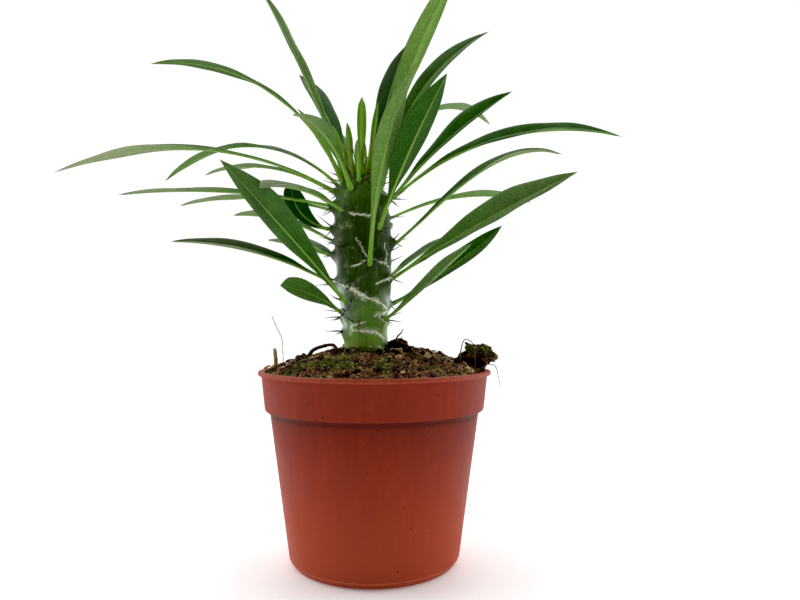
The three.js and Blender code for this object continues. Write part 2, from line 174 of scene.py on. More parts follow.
class Finish:
    def __init__(self, name, roughness=0.5, **constants):
        self.material = bpy.data.materials.new(name)
        self.material.use_nodes = True
        self.tree = self.material.node_tree
        self.shader = next(n for n in self.tree.nodes if n.type == "BSDF_PRINCIPLED")
        self.shader.inputs["Roughness"].default_value = roughness
        for socket, value in constants.items():
            self.shader.inputs[socket.replace("_", " ")].default_value = value

    def node(self, kind, **settings):
        made = self.tree.nodes.new(kind)
        for setting, value in settings.items():
            setattr(made, setting, value)
        return made

    def feed(self, socket, value):
        if isinstance(value, bpy.types.NodeSocket):
            self.tree.links.new(value, socket)
        else:
            socket.default_value = value

    def mark(self, name):
        made = self.node("ShaderNodeAttribute", attribute_name=name)
        return made.outputs["Fac"]

    def split(self, vector):
        made = self.node("ShaderNodeSeparateXYZ")
        self.feed(made.inputs[0], vector)
        return made.outputs

    def marks(self, name):
        made = self.node("ShaderNodeAttribute", attribute_name=name)
        return made.outputs["Vector"], self.split(made.outputs["Vector"])

    def place(self, stretch=(1, 1, 1)):
        where = self.node("ShaderNodeTexCoord")
        scaled = self.node("ShaderNodeVectorMath", operation="MULTIPLY")
        self.feed(scaled.inputs[0], where.outputs["Object"])
        self.feed(scaled.inputs[1], stretch)
        return scaled.outputs[0]

    def height(self):
        return self.split(self.place())["Z"]

    def pattern(self, kind, scale, where=None, **settings):
        made = self.node(kind, **settings)
        self.feed(made.inputs["Vector"], where if where is not None else self.place())
        self.feed(made.inputs["Scale"], scale)
        return made

    def clouds(self, scale, where=None, detail=3, rough=0.55):
        made = self.pattern("ShaderNodeTexNoise", scale, where)
        self.feed(made.inputs["Detail"], detail)
        self.feed(made.inputs["Roughness"], rough)
        return made.outputs["Fac"]

    def cells(self, scale, where=None):
        made = self.pattern("ShaderNodeTexVoronoi", scale, where)
        return made.outputs["Distance"], made.outputs["Color"]

    def cracks(self, scale, where=None):
        made = self.pattern("ShaderNodeTexVoronoi", scale, where, feature="DISTANCE_TO_EDGE")
        return made.outputs["Distance"]

    def sum(self, operation, first, second=0.0, third=0.0):
        made = self.node("ShaderNodeMath", operation=operation)
        for socket, value in zip(made.inputs, (first, second, third)):
            self.feed(socket, value)
        return made.outputs[0]

    def times(self, first, second):
        return self.sum("MULTIPLY", first, second)

    def band(self, value, low, high, bottom=0.0, top=1.0):
        made = self.node("ShaderNodeMapRange", interpolation_type="SMOOTHSTEP")
        for socket, number in zip(made.inputs, (value, low, high, bottom, top)):
            self.feed(socket, number)
        return made.outputs[0]

    def blend(self, share, first, second):
        made = self.node("ShaderNodeMix", data_type="RGBA", blend_type="MIX")
        self.feed(made.inputs[0], share)
        self.feed(made.inputs[6], first)
        self.feed(made.inputs[7], second)
        return made.outputs[2]

    def over(self, under, share, code, strength=None):
        """Lays a plain colour over the colours under it, as strongly as share says."""
        if strength is not None:
            share = self.times(share, strength)
        return self.blend(share, under, shade(code))

    def colours(self, share, *stops):
        made = self.node("ShaderNodeValToRGB")
        ramp = made.color_ramp
        while len(ramp.elements) < len(stops):
            ramp.elements.new(0.5)
        for element, (position, code) in zip(ramp.elements, stops):
            element.position = position
            element.color = shade(code)
        self.feed(made.inputs[0], share)
        return made.outputs[0]

    def coat(self, colour, roughness=None, bump=None, depth=0.2 * mm, strength=1.0):
        self.feed(self.shader.inputs["Base Color"], colour)
        if roughness is not None:
            self.feed(self.shader.inputs["Roughness"], roughness)
        if bump is not None:
            made = self.node("ShaderNodeBump")
            self.feed(made.inputs["Strength"], strength)
            self.feed(made.inputs["Distance"], depth)
            self.feed(made.inputs["Height"], bump)
            self.feed(self.shader.inputs["Normal"], made.outputs[0])
        return self.material


# %% [markdown]
# ## Camera, light and floor
# The plant is looked at from the front, from just above the soil, with the camera tipped up
# a little. It stands on a plain white floor in a white room: light comes from the sides,
# the back and above, and less of it from the front, which leaves the middle of the pot
# darker than its edges. The floor glows a little, as a light table does: that keeps it
# white right up to the pot, and lights the pot's foot from below.

# %% Camera
camera_data = bpy.data.cameras.new("camera")
camera_data.sensor_width = 36
camera_data.lens = 28.86
camera_data.clip_start = 10 * mm
camera = bpy.data.objects.new("camera", camera_data)
camera.location = (13.1 * mm, -337.3 * mm, 121.6 * mm)
camera.rotation_euler = (math.radians(92), 0, 0)
scene = bpy.context.scene
scene.collection.objects.link(camera)
scene.camera = camera
scene.view_settings.view_transform = "Standard"
scene.view_settings.use_curve_mapping = True
print_curve = scene.view_settings.curve_mapping
print_curve.black_level = (0.008, 0.008, 0.008)
print_curve.white_level = (0.95, 0.95, 0.95)
print_curve.update()
print("camera stands", round(-camera.location.y, 3), "m in front of the pot")

# %% White room
front_light = 0.03
room_light = 1.4
dim_front = (-0.5, 0.1)     # the light falls off between these two shares of the way to the back
world = bpy.data.worlds.new("white_room")
scene.world = world
world.use_nodes = True
room = world.node_tree
background = room.nodes["Background"]
background.inputs["Color"].default_value = (1, 1, 1, 1)
direction = room.nodes.new("ShaderNodeTexCoord")
split = room.nodes.new("ShaderNodeSeparateXYZ")
fade = room.nodes.new("ShaderNodeMapRange")
room.links.new(direction.outputs["Generated"], split.inputs[0])
room.links.new(split.outputs["Y"], fade.inputs["Value"])
fade_ends = ("From Min", "From Max", "To Min", "To Max")
for socket, value in zip(fade_ends, (*dim_front, front_light, room_light)):
    fade.inputs[socket].default_value = value
rays = room.nodes.new("ShaderNodeLightPath")
seen = room.nodes.new("ShaderNodeMix")
room.links.new(rays.outputs["Is Camera Ray"], seen.inputs[0])
room.links.new(fade.outputs[0], seen.inputs[2])
seen.inputs[3].default_value = 1.0
room.links.new(seen.outputs[0], background.inputs["Strength"])


def softbox(name, at, aim, size, power):
    lamp = bpy.data.lights.new(name, "AREA")
    lamp.shape = "RECTANGLE"
    lamp.size, lamp.size_y = size
    lamp.energy = power
    holder = bpy.data.objects.new(name, lamp)
    holder.location = at
    holder.rotation_euler = (Vector(aim) - Vector(at)).to_track_quat("-Z", "Y").to_euler()
    holder.visible_camera = False
    scene.collection.objects.link(holder)


middle = (0, 0, 0.15)
softbox("left_softbox", (-0.95, 0.05, 0.6), middle, (0.6, 0.9), 2.5)
softbox("right_softbox", (1.0, 0.1, 0.5), middle, (0.5, 0.9), 2)
softbox("top_softbox", (-0.1, 0.1, 1.2), middle, (0.9, 0.9), 2.5)

# %% White floor
white = (1, 1, 1, 1)
floor_finish = Finish("white_floor", roughness=0.6, Emission_Color=white, Emission_Strength=0.16)
floor_tone = floor_finish.colours(floor_finish.clouds(6), (0.3, "fbf9f9"), (0.7, "fefdfd"))
floor_finish.coat(floor_tone)
floor_half = 4.0
floor_corners = [(x * floor_half, y * floor_half, 0) for x, y in ((-1, -1), (1, -1), (1, 1), (-1, 1))]
floor = build("floor", floor_corners, [(0, 1, 2, 3)])
floor.data.materials.append(floor_finish.material)

# %% [markdown]
# ## The pot
# The pot is moulded in one piece from terracotta-coloured plastic: a tapered body, a collar
# that stands proud under a small rolled lip, a bevelled foot and a ring of drain holes. It
# could be sculpted, but a turned outline is how the mould itself was cut, so the outline is
# read off the solid model, its corners are rounded, and it is spun round the axis. The lip
# then gets the slight unevenness that trimmed plastic has.

# %% Outline of the pot, with rounded corners
pot_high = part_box("pot")[1]
rim_radius, pot_height = pot_high.x, pot_high.z
pot_feeler = feeler("pot")
sliver = 0.02 * mm


def outside_at(height):
    hit = pot_feeler.ray_cast(Vector((2 * rim_radius, sliver, height)), Vector((-1, 0, 0)))
    return hit[0].x


def inside_at(height):
    hit = pot_feeler.ray_cast(Vector((0, sliver, height)), Vector((1, 0, 0)))
    return hit[0].x


def rounded(corners, steps=5):
    line = []
    for i, (radius, height, bend) in enumerate(corners):
        here = Vector((radius, height))
        if bend == 0:
            line.append(here)
            continue
        back = (Vector(corners[i - 1][:2]) - here)
        ahead = (Vector(corners[i + 1][:2]) - here)
        reach = min(bend, 0.45 * back.length, 0.45 * ahead.length)
        start, end = here + back.normalized() * reach, here + ahead.normalized() * reach
        for step in range(steps + 1):
            t = step / steps
            line.append(start * (1 - t) ** 2 + here * 2 * t * (1 - t) + end * t ** 2)
    return line


collar_low = pot_height - 19.5 * mm
collar_slope = 1.6 * mm
lip_low = pot_height - 2.2 * mm
bevel_height = 3.3 * mm
floor_height = 2 * mm
wall = 1.6 * mm
body_top_height = collar_low - collar_slope
body_top = outside_at(body_top_height)
collar_foot = outside_at(collar_low + sliver)
collar_top = outside_at(lip_low - sliver)
mouth = inside_at(pot_height - sliver)
pot_outline = rounded([      # each corner: its radius, its height and how far it is rounded
    (0, 0, 0),
    (outside_at(sliver), 0, 1.0 * mm),
    (outside_at(bevel_height), bevel_height, 0.5 * mm),
    (body_top, body_top_height, 0.5 * mm),
    (collar_foot, collar_low, 0.9 * mm),
    (collar_top, lip_low, 0.35 * mm),
    (rim_radius, lip_low + 0.2 * mm, 0.7 * mm),
    (rim_radius, pot_height, 0.9 * mm),
    (mouth, pot_height, 0.7 * mm),
    (collar_foot - wall, collar_low + wall, 1.0 * mm),
    (body_top - wall, body_top_height, 0.6 * mm),
    (inside_at(bevel_height + floor_height), bevel_height + floor_height, 1.0 * mm),
    (inside_at(floor_height + 2 * sliver), floor_height, 0.8 * mm),
    (0, floor_height, 0),
])
print("points in the pot's outline:", len(pot_outline))

# %% Spin the outline
pot_sides = 288


def lip_wobble(azimuth, height):
    share = float(smoothstep(lip_low - 0.3 * mm, pot_height - 0.6 * mm, height))
    wave = noise.noise(Vector((3 * math.cos(azimuth), 3 * math.sin(azimuth), 0)))
    flash = noise.noise(Vector((26 * math.cos(azimuth), 26 * math.sin(azimuth), 4)))
    nick = noise.noise(Vector((70 * math.cos(azimuth), 70 * math.sin(azimuth), 9)))
    return share * (0.22 * wave + 0.16 * flash + 0.1 * nick) * mm


def spin(outline, sides, wobble):
    points = []
    rings = [p for p in outline if p.x > 0]
    for point in rings:
        for side in range(sides):
            turn = 2 * math.pi * side / sides
            shift = wobble(turn, point.y)
            points.append(outward(turn) * (point.x + shift) + Vector((0, 0, point.y + 0.7 * shift)))
    points += [Vector((0, 0, outline[0].y)), Vector((0, 0, outline[-1].y))]
    return points, ring_faces(len(rings), sides) + end_faces(len(rings), sides)


pot = build("pot_shell", *spin(pot_outline, pot_sides, lip_wobble))

# %% Drill the drain holes
hole_count = 8
hole_radius = 3.5 * mm
hole_ring = 28 * mm
drills = bmesh.new()
for i in range(hole_count):
    at = outward(2 * math.pi * i / hole_count) * hole_ring
    bmesh.ops.create_cone(drills, cap_ends=True, segments=32, depth=10 * mm, radius1=hole_radius,
                          radius2=hole_radius, matrix=Matrix.Translation(at))
drill_mesh = bpy.data.meshes.new("drills")
drills.to_mesh(drill_mesh)
drill = bpy.data.objects.new("drills", drill_mesh)
scene.collection.objects.link(drill)
cut = pot.modifiers.new("drain_holes", "BOOLEAN")
cut.object = drill
cut.solver = "EXACT"
cut_mesh = bpy.data.meshes.new_from_object(pot.evaluated_get(bpy.context.evaluated_depsgraph_get()))
pot.modifiers.clear()
pot.data = cut_mesh
bpy.data.objects.remove(drill)
pot.data.set_sharp_from_angle(angle=math.radians(40))
print("pot faces after drilling:", len(pot.data.polygons))

# %% [markdown]
# The plastic is dull and even, but never one flat colour. It has faint upright flow
# streaks from the mould. Painted light makes it paler towards the foot, painted shade darkens
# the corner under the collar and the top of the body below it, and a painted highlight runs
# along the edge of the bevel. The lip is worn paler, and there are a few dark splashes of soil
# and pale specks of dust.

# %% Terracotta plastic
def terracotta_plastic():
    paint = Finish("terracotta_plastic", roughness=0.6, Specular_IOR_Level=0.2)
    streaks = paint.clouds(260, paint.place((1, 1, 0.03)), detail=4, rough=0.65)
    patches = paint.clouds(28, detail=4)
    body = paint.colours(paint.sum("MULTIPLY_ADD", streaks, 0.45, paint.times(patches, 0.55)),
                         (0.28, "7e2410"), (0.5, "8b2b14"), (0.72, "98341a"))
    height = paint.height()
    # Painted light: the body is made paler towards the foot, as if lit from the floor below.
    painted_light_share = paint.band(height, 0.95 * body_top_height, 0.05 * body_top_height, 0.0, 0.7)
    body = paint.over(body, painted_light_share, "b9502f")
    # Painted shade: dark bands under the collar, narrow and strong in the corner, broad and faint down
    # the top of the body.
    below_collar = paint.band(height, collar_low + 0.4 * mm, collar_low - 0.2 * mm)
    for reach, strength in ((24 * mm, 0.3), (8 * mm, 0.25), (2.4 * mm, 0.8)):
        painted_shade = paint.band(height, body_top_height - reach, body_top_height, 0.0, strength)
        body = paint.over(body, paint.times(painted_shade, below_collar), "4e0e04")
    # Painted highlight: a thin pale line along the edge of the bevel.
    from_crease = paint.sum("ABSOLUTE", paint.sum("SUBTRACT", height, bevel_height))
    crease_highlight = paint.band(from_crease, 0.5 * mm, 0.15 * mm)
    body = paint.over(body, crease_highlight, "d8805e", 0.4)
    worn = paint.band(height, lip_low - 0.1 * mm, lip_low + 0.5 * mm)
    scuffed = paint.times(worn, paint.band(paint.clouds(420), 0.3, 0.6, 0.6, 1.0))
    body = paint.over(body, scuffed, "a9543a", 0.6)
    dot, tint = paint.cells(330)
    picked = paint.node("ShaderNodeSeparateColor")
    paint.feed(picked.inputs[0], tint)
    dark_dot = paint.times(paint.band(dot, 0.26, 0.14), paint.band(picked.outputs[0], 0.96, 0.97))
    pale_dot = paint.times(paint.band(dot, 0.1, 0.05), paint.band(picked.outputs[1], 0.992, 0.995))
    body = paint.over(body, dark_dot, "4a1a10", 0.75)
    body = paint.over(body, pale_dot, "d99a7c", 0.7)
    dusty = paint.band(paint.clouds(900, detail=2), 0.55, 0.75, 0.0, 0.05)
    body = paint.over(body, dusty, "c98f78")
    grain = paint.sum("ADD", paint.clouds(2600, detail=2), paint.times(streaks, 0.8))
    return paint.coat(body, paint.band(patches, 0.3, 0.7, 0.52, 0.66), grain, 0.05 * mm)


settle(pot, terracotta_plastic(), "pot_plastic", "pot")

# %% [markdown]
# ## The leaves
# A pachypodium leaf is a long tongue of blade on a short stalk, folded into a shallow V along
# a pale midrib that stands out as a ridge underneath. Each leaf grows its own way, so the
# solid model already gives each one its line. Its solid has rows of four points: the two
# edges, the top and the underside. Those rows are read back, smoothed into a curve, and
# a finer blade is drawn along it with a ridge, a groove, a soft wave and rolled edges.
# A flat card with a leaf painted on it would be simpler, but it has no thickness, and
# the fold and the ridge are what catch the light.

# %% Read a leaf's rows from its solid
stem_low, stem_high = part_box("stem")
stem_heart = (stem_low + stem_high) / 2


def leaf_rows(node):
    solid = welded(node)
    ends = [v for v in solid.verts if len(v.link_edges) == 4]
    ends.sort(key=lambda v: (v.co - stem_heart).length)
    level, rows, seen_points = [ends[0]], [], {ends[0]}
    while True:
        ahead = {e.other_vert(v) for v in level for e in v.link_edges} - seen_points
        if len(ahead) != 4:
            break
        seen_points |= ahead
        level = list(ahead)
        rows.append([v.co.copy() for v in level])
    base, tip = ends[0].co.copy(), ends[-1].co.copy()
    solid.free()
    return base, rows, tip


def sort_row(row, before):
    pairs = [(a, b) for i, a in enumerate(row) for b in row[i + 1:]]
    left, right = max(pairs, key=lambda pair: (pair[0] - pair[1]).length)
    top, under = [p for p in row if p is not left and p is not right]
    if before:
        if (left - before[0]).length > (left - before[1]).length:
            left, right = right, left
        if (top - under).dot(before[2] - before[3]) < 0:
            top, under = under, top
    return left, right, top, under


def leaf_line(node):
    base, rows, tip = leaf_rows(node)
    sorted_rows = []
    for row in rows:
        sorted_rows.append(sort_row(row, sorted_rows[-1] if sorted_rows else None))
    lift = sum((((l + r) / 2 - (t + u) / 2).dot(t - u)) for l, r, t, u in sorted_rows)
    if lift < 0:
        sorted_rows = [(l, r, u, t) for l, r, t, u in sorted_rows]
    middle_line = [base] + [(t + u) / 2 for _, _, t, u in sorted_rows] + [tip]
    above = [(t - u).normalized() for _, _, t, u in sorted_rows]
    across = [(r - l).normalized() for l, r, _, _ in sorted_rows]
    half = [(r - l).length / 2 for l, r, _, _ in sorted_rows]
    fold = [((l + r) / 2 - (t + u) / 2).dot((t - u).normalized()) for l, r, t, u in sorted_rows]
    if across[0].cross(above[0]).dot(middle_line[1] - middle_line[0]) > 0:
        across = [-a for a in across]
    return {
        "middle": np.array(middle_line),
        "above": np.array([above[0], *above, above[-1]]),
        "across": np.array([across[0], *across, across[-1]]),
        "half": np.array([half[0], *half, 0.0]),
        "fold": np.array([0.0, *fold, 0.0]),
    }


# %% Smooth a row of values into a curve
def curve_through(values, at):
    """Catmull-Rom through evenly spaced values, read at shares that run from 0 to 1."""
    values = np.asarray(values, float)
    flat = values.ndim == 1
    values = values.reshape(len(values), -1)
    padded = np.vstack([2 * values[0] - values[1], values, 2 * values[-1] - values[-2]])
    spans = len(values) - 1
    place = np.asarray(at) * spans
    span = np.clip(np.floor(place).astype(int), 0, spans - 1)
    t = (place - span)[:, None]
    a, b, c, d = (padded[span + k] for k in range(4))
    square, cube = 2 * a - 5 * b + 4 * c - d, 3 * b - a - 3 * c + d
    made = 0.5 * (2 * b + (c - a) * t + square * t ** 2 + cube * t ** 3)
    return made[:, 0] if flat else made


def unit(vectors):
    return vectors / np.linalg.norm(vectors, axis=1, keepdims=True)


# %% Draw one fine blade
blade_rows = 110
blade_columns = 13          # points from the midrib to one edge
blade_thick = 0.42 * mm
edge_thick = 0.2 * mm
stalk_share = 0.1
fold_deeper = 2.2           # the real fold is sharper than the plain solid's
groove, stalk_groove = 0.22 * mm, 0.35 * mm      # how deep the midrib is sunk in the top
ridge, stalk_ridge = 0.95 * mm, 0.3 * mm         # how far it stands out underneath
wave_high = 1.5 * mm
broad_half = 7 * mm         # half the width of a broad blade, which is the waviest
quilt_high = 0.05 * mm
quilt_gap = 2.7             # millimetres from one fine swell of the blade to the next
root_steps = ((3.4, 0.9), (2.0, 0.75), (0.8, 0.4))      # how far in, and how far turned inwards


def rooted(line, share):
    """The leaf's curve, with a few rows before it that bend inwards and run into the knob."""
    middle_line = curve_through(line["middle"], share)
    above = unit(curve_through(line["above"], share))
    across = unit(curve_through(line["across"], share))
    base, ahead = middle_line[0], unit(middle_line[1:2] - middle_line[:1])[0]
    inward = np.array([stem_heart.x - base[0], stem_heart.y - base[1], 0])
    inward /= np.linalg.norm(inward)
    handed = math.copysign(1, np.dot(np.cross(across[0], ahead), above[0]))
    roots, root_above = [], []
    for depth, turned in root_steps:
        roots.append(base + (inward * turned - ahead * (1 - turned)) * depth * mm)
        path = ahead * (1 - turned) - inward * turned
        root_above.append(handed * np.cross(across[0], path / np.linalg.norm(path)))
    extra = len(root_steps)
    return (np.vstack([roots, middle_line]), unit(np.vstack([root_above, above])),
            np.vstack([[across[0]] * extra, across]), np.concatenate([[0.0] * extra, share]))


def leaf_blade(line, wave, looks, neck, stalk_flare, folded):
    """Points and marks of one blade, and how many points lie across its top."""
    length = np.linalg.norm(np.diff(line["middle"], axis=0), axis=1).sum()
    share = 1 - (1 - np.linspace(0, 1, blade_rows - len(root_steps))) ** 1.25
    middle_line, above, across, share = rooted(line, share)
    half = np.maximum(curve_through(line["half"], share), 0.05 * mm)
    stalk_half = float(np.interp(stalk_share, share, half))
    narrowed = smoothstep(0, neck, share) ** 1.5 if neck else 1.0
    half = np.minimum(half, stalk_half) + np.maximum(half - stalk_half, 0) * narrowed
    half = half * (1 + stalk_flare * np.exp(-(share / 0.06) ** 2))
    fold = folded * fold_deeper * curve_through(line["fold"], share) / half
    bladed = smoothstep(stalk_share * 0.6, stalk_share * 2.2, share)
    wavy = 0.3 + 0.7 * half / broad_half
    thick = blade_thick * (1 - 0.4 * share)
    step = np.linspace(0, 1, blade_columns) ** 1.15
    side = np.concatenate([-step[::-1], step[1:]])
    phase = wave * 40
    points, place, shares = [], [], []
    columns = len(side)
    along_mm = share * length / mm
    for row in range(blade_rows):
        out = side * half[row]
        out_mm = out / mm
        wind = 0.045 * along_mm[row] + phase
        ripple = np.array([noise.noise(Vector((wind, 1.3 * s, wave))) for s in side])
        bend = np.abs(side)
        rise = fold[row] * half[row] * (np.sqrt(bend ** 2 + 0.006) - 0.077)
        rise = rise + bladed[row] * half[row] * (0.07 * np.sin(math.pi * bend) - 0.09 * bend ** 5)
        rise = rise + bladed[row] * wave_high * ripple * bend ** 1.5 * wavy[row]
        quilt = np.sin(2 * math.pi * (along_mm[row] - 0.55 * np.abs(out_mm)) / quilt_gap)
        rise = rise + bladed[row] * quilt_high * quilt * np.sin(math.pi * bend)
        rib = np.exp(-(out_mm / (0.75 - 0.4 * share[row])) ** 2) * (1 - 0.75 * max(share[row], 0))
        skin = (thick[row] * (1 - bend ** 3) + edge_thick * bend ** 3) / 2
        stalk = (0.62 * half[row]) * np.sqrt(np.maximum(1 - bend ** 2, 0.02))
        top = bladed[row] * (skin - groove * rib) + (1 - bladed[row]) * (stalk - stalk_groove * rib)
        under = bladed[row] * (skin + ridge * rib) + (1 - bladed[row]) * (stalk + stalk_ridge * rib)
        closing = 1 - smoothstep(0.97, 1.0, share[row])
        for face, offset in ((1, top), (0, -under)):
            for column in range(columns):
                edge = column in (0, columns - 1)
                height = rise[column] + (0 if edge else offset[column] * closing)
                if edge and face == 0:
                    continue
                points.append(middle_line[row] + across[row] * out[column] + above[row] * height)
                place.append((out_mm[column], along_mm[row], 0.5 if edge else face))
                shares.append((side[column], share[row], 0))
    return points, {"place": place, "share": shares, "looks": [looks] * len(points)}, columns


def blade_faces(columns):
    """Each row holds its top points, edge to edge, and then its underside without the edges."""
    stride = 2 * columns - 2
    ring = list(range(columns)) + [columns + k for k in range(columns - 2)][::-1]
    faces = []
    for row in range(blade_rows - 1):
        here, ahead = row * stride, (row + 1) * stride
        for k, spot in enumerate(ring):
            after = ring[(k + 1) % len(ring)]
            faces.append((here + spot, here + after, ahead + after, ahead + spot))
    last = (blade_rows - 1) * stride
    faces.append(ring[::-1])
    faces.append([last + spot for spot in ring])
    return faces


# %% [markdown]
# The blade's top is dark green, with a pale midrib, fine side veins that leave it at a slant,
# and a net of veins between them. Its underside is paler and a little glossier. The stalk is
# a bright yellow-green that runs on into the midrib. The edge is thin and olive, or brown on
# a young leaf, and the tip is brown. All of this follows the marks that the blade carries:
# how far out, how far along, and which face.

# %% Leaf green
def leaf_green():
    paint = Finish("leaf_green", roughness=0.45, Specular_IOR_Level=0.07)
    spot, (out, along, face) = paint.marks("place")
    _, (side, share, _) = paint.marks("share")
    _, (youth, light, painted_grey_sheen) = paint.marks("looks")
    aside = paint.sum("ABSOLUTE", out)
    slant = paint.sum("MULTIPLY_ADD", aside, -0.6, along)
    waver = paint.times(paint.clouds(0.4, spot), 3.4)
    vein = paint.sum("SINE", paint.times(paint.sum("ADD", slant, waver), 2 * math.pi / vein_gap))
    veins = paint.times(paint.band(vein, 0.6, 1.0), paint.band(paint.clouds(0.9, spot), 0.4, 0.6))
    net, _ = paint.cells(1.5, spot)
    meshes = paint.band(net, 0.55, 0.2)
    fine = paint.clouds(2.6, spot, detail=4, rough=0.75)
    broad = paint.clouds(0.12, spot, detail=3)
    top = paint.colours(broad, (0.25, "1c450b"), (0.5, "295a12"), (0.75, "386f1b"))
    top = paint.over(top, paint.band(fine, 0.4, 0.8, 0.0, 0.3), "44801f")
    top = paint.over(top, veins, "679a3e", 0.2)
    # The per-leaf mark lightens the leaf above 0 and darkens it below 0: partly the leaf's own tone,
    # partly painted light and painted shade.
    top = paint.over(top, paint.band(light, 0.0, 1.0, 0.0, 0.75), "7da24e")
    top = paint.over(top, paint.band(light, 0.0, -1.0, 0.0, 0.85), "16410a")
    netted = paint.times(meshes, paint.band(light, 0.0, 0.8, 0.06, 0.5))
    top = paint.over(top, netted, "a4c27a")
    young_side = paint.sum("MULTIPLY_ADD", side, 0.5, 0.5)
    young_green = paint.colours(young_side, (0.2, "62a312"), (0.5, "4f8f0c"), (0.8, "35700a"))
    top = paint.blend(paint.times(youth, 0.9), top, young_green)
    under = paint.colours(broad, (0.3, "3f6e22"), (0.7, "568638"))
    under = paint.over(under, veins, "8fb066", 0.3)
    under = paint.over(under, paint.band(light, 0.0, 1.0, 0.0, 0.6), "7da24e")
    under = paint.over(under, paint.band(light, 0.0, -1.0, 0.0, 0.9), "1f4a0e")
    netted = paint.times(meshes, paint.band(light, -0.4, 0.8, 0.08, 0.5))
    under = paint.over(under, netted, "a4c27a")
    under = paint.over(under, youth, "79b02c", 0.8)
    blade = paint.blend(face, under, top)
    rib_width = paint.sum("MULTIPLY_ADD", share, -0.75, 1.0)
    rib = paint.band(paint.sum("DIVIDE", aside, rib_width), 1.0, 0.55)
    rib = paint.times(rib, paint.band(share, 1.0, 0.5, 0.4, 0.9))
    blade = paint.over(blade, rib, "8db04e")
    stalk = paint.band(share, 0.2, 0.07)
    stalk_green = paint.colours(paint.clouds(0.5, spot), (0.3, "5f9a28"), (0.7, "8fbf4a"))
    blade = paint.blend(stalk, blade, stalk_green)
    rim = paint.band(paint.sum("ABSOLUTE", side), 0.955, 0.995)
    rim_brown = paint.blend(youth, shade("7f8552"), shade("9a5a26"))
    blade = paint.blend(paint.times(rim, 0.6), blade, rim_brown)
    tip = paint.band(share, 0.965, 0.995)
    blade = paint.over(blade, tip, "6a5236", 0.75)
    # Painted sheen: some blades are painted grey from the middle to the tip, as light glancing off them.
    painted_light_share = paint.times(painted_grey_sheen, paint.band(share, 0.25, 0.9))
    painted_light_share = paint.times(painted_light_share, paint.band(fine, 0.3, 0.6, 0.7, 1.0))
    blade = paint.over(blade, painted_light_share, "a7a98c")
    gloss = paint.blend(face, (0.5, 0.5, 0.5, 1), (0.38, 0.38, 0.38, 1))
    gloss = paint.sum("ADD", gloss, paint.times(fine, 0.12))
    relief = paint.sum("SUBTRACT", paint.sum("MULTIPLY_ADD", meshes, 0.35, fine), veins)
    return paint.coat(blade, gloss, relief, 0.05 * mm, 0.6)


# %% [markdown]
# No two leaves are quite the same green. Young ones in the crown are bright, old ones low on
# the stem are dark, and some show a pale net of veins. Each leaf is also painted lighter or
# darker, partly its own tone and partly painted light and shade, and some are painted grey from
# the middle to the tip, a painted sheen. Each leaf carries three more marks for this: how young it
# is, its painted light and shade, and how much grey sheen it has.

# %% Make all the leaves
leaf_looks = {          # leaf number: (young, light and shade, painted grey sheen)
    1: (0, 0.2, 0.6), 2: (0, -0.2, 0.1), 3: (0, -0.6, 0.1), 4: (0, 0.45, 0.1), 5: (0, -0.4, 0.0),
    6: (0, -0.1, 0.35), 7: (1, 0.2, 0.0), 8: (0.1, 0.95, 0.0), 9: (0, -0.8, 0.0), 10: (0.1, 0.6, 0.1),
    11: (0, -0.8, 0.0), 12: (0, 0.15, 0.1), 13: (0, 0.0, 0.0), 14: (0, 0.15, 0.0), 15: (0, -0.2, 0.35),
    16: (0, -0.1, 0.3), 17: (0, 0.0, 0.2), 18: (0, 0.35, 0.1), 19: (0, 0.4, 0.1), 20: (0, 0.0, 0.0),
    21: (0, 0.1, 0.1), 22: (0, 0.0, 0.5), 23: (0, -0.7, 0.0), 24: (0, -0.3, 0.45), 25: (0, -0.3, 0.45),
    26: (0, -0.3, 0.35), 27: (0, -0.4, 0.3), 28: (0, -0.6, 0.4), 29: (0, 0.35, 0.0), 30: (0, 0.0, 0.6),
    31: (0.2, 0.1, 0.8),
}
flat_leaves = {1: 0.2, 2: 0.5, 3: 0.15, 24: 0.5, 25: 0.5, 26: 0.5}      # share of the fold left
necks = {8: 0.42, 10: 0.6, 11: 0.42}       # where a slow-widening blade is at its full width
broad_stalks = (2, 3, 4, 5, 6, 7, 8, 9, 15)
broad_flare, plain_flare = 0.5, 0.18       # how much wider a stalk is at its foot
crown_from = 40             # the leaves from this number on are the young ones of the crown
crown_look = (0.75, 0.2, 0.0)
vein_gap = 1.9              # millimetres from one side vein to the next
leaf_names = sorted(name for name in nodes if name.startswith("leaf_"))
green = leaf_green()
leaf_lines = {}
for number, name in enumerate(leaf_names, 1):
    line = leaf_line(name)
    leaf_lines[name] = line
    wave = chance.uniform(0, 10)
    if number >= crown_from:
        look = crown_look
    else:
        plain = (0, chance.uniform(-0.4, 0.1), chance.uniform(0, 0.2))
        look = leaf_looks.get(number, plain)
    flare = broad_flare if number in broad_stalks else plain_flare
    neck, folded = necks.get(number, 0), flat_leaves.get(number, 1)
    points, marks, columns = leaf_blade(line, wave, look, neck, flare, folded)
    blade = build(f"blade_{number:02d}", points, blade_faces(columns), marks)
    settle(blade, green, "leaf_blade", name)
print("leaves drawn:", len(leaf_names))

# %% [markdown]
# ## The stem
# The stem is a fat green column with a knob under every leaf, and under the scar of every
# leaf that has dropped. The knobs wind up it in one spiral, each 137.5 degrees on from the
# last. The skin is drawn as rings of points whose distance from the axis is the bare stem,
# plus the tallest knob felt there, plus small folds. Between the knobs the skin also swells
# a little, because the stem is full of water. Sculpting would give knobs too, but a rule
# keeps each one under its own leaf.

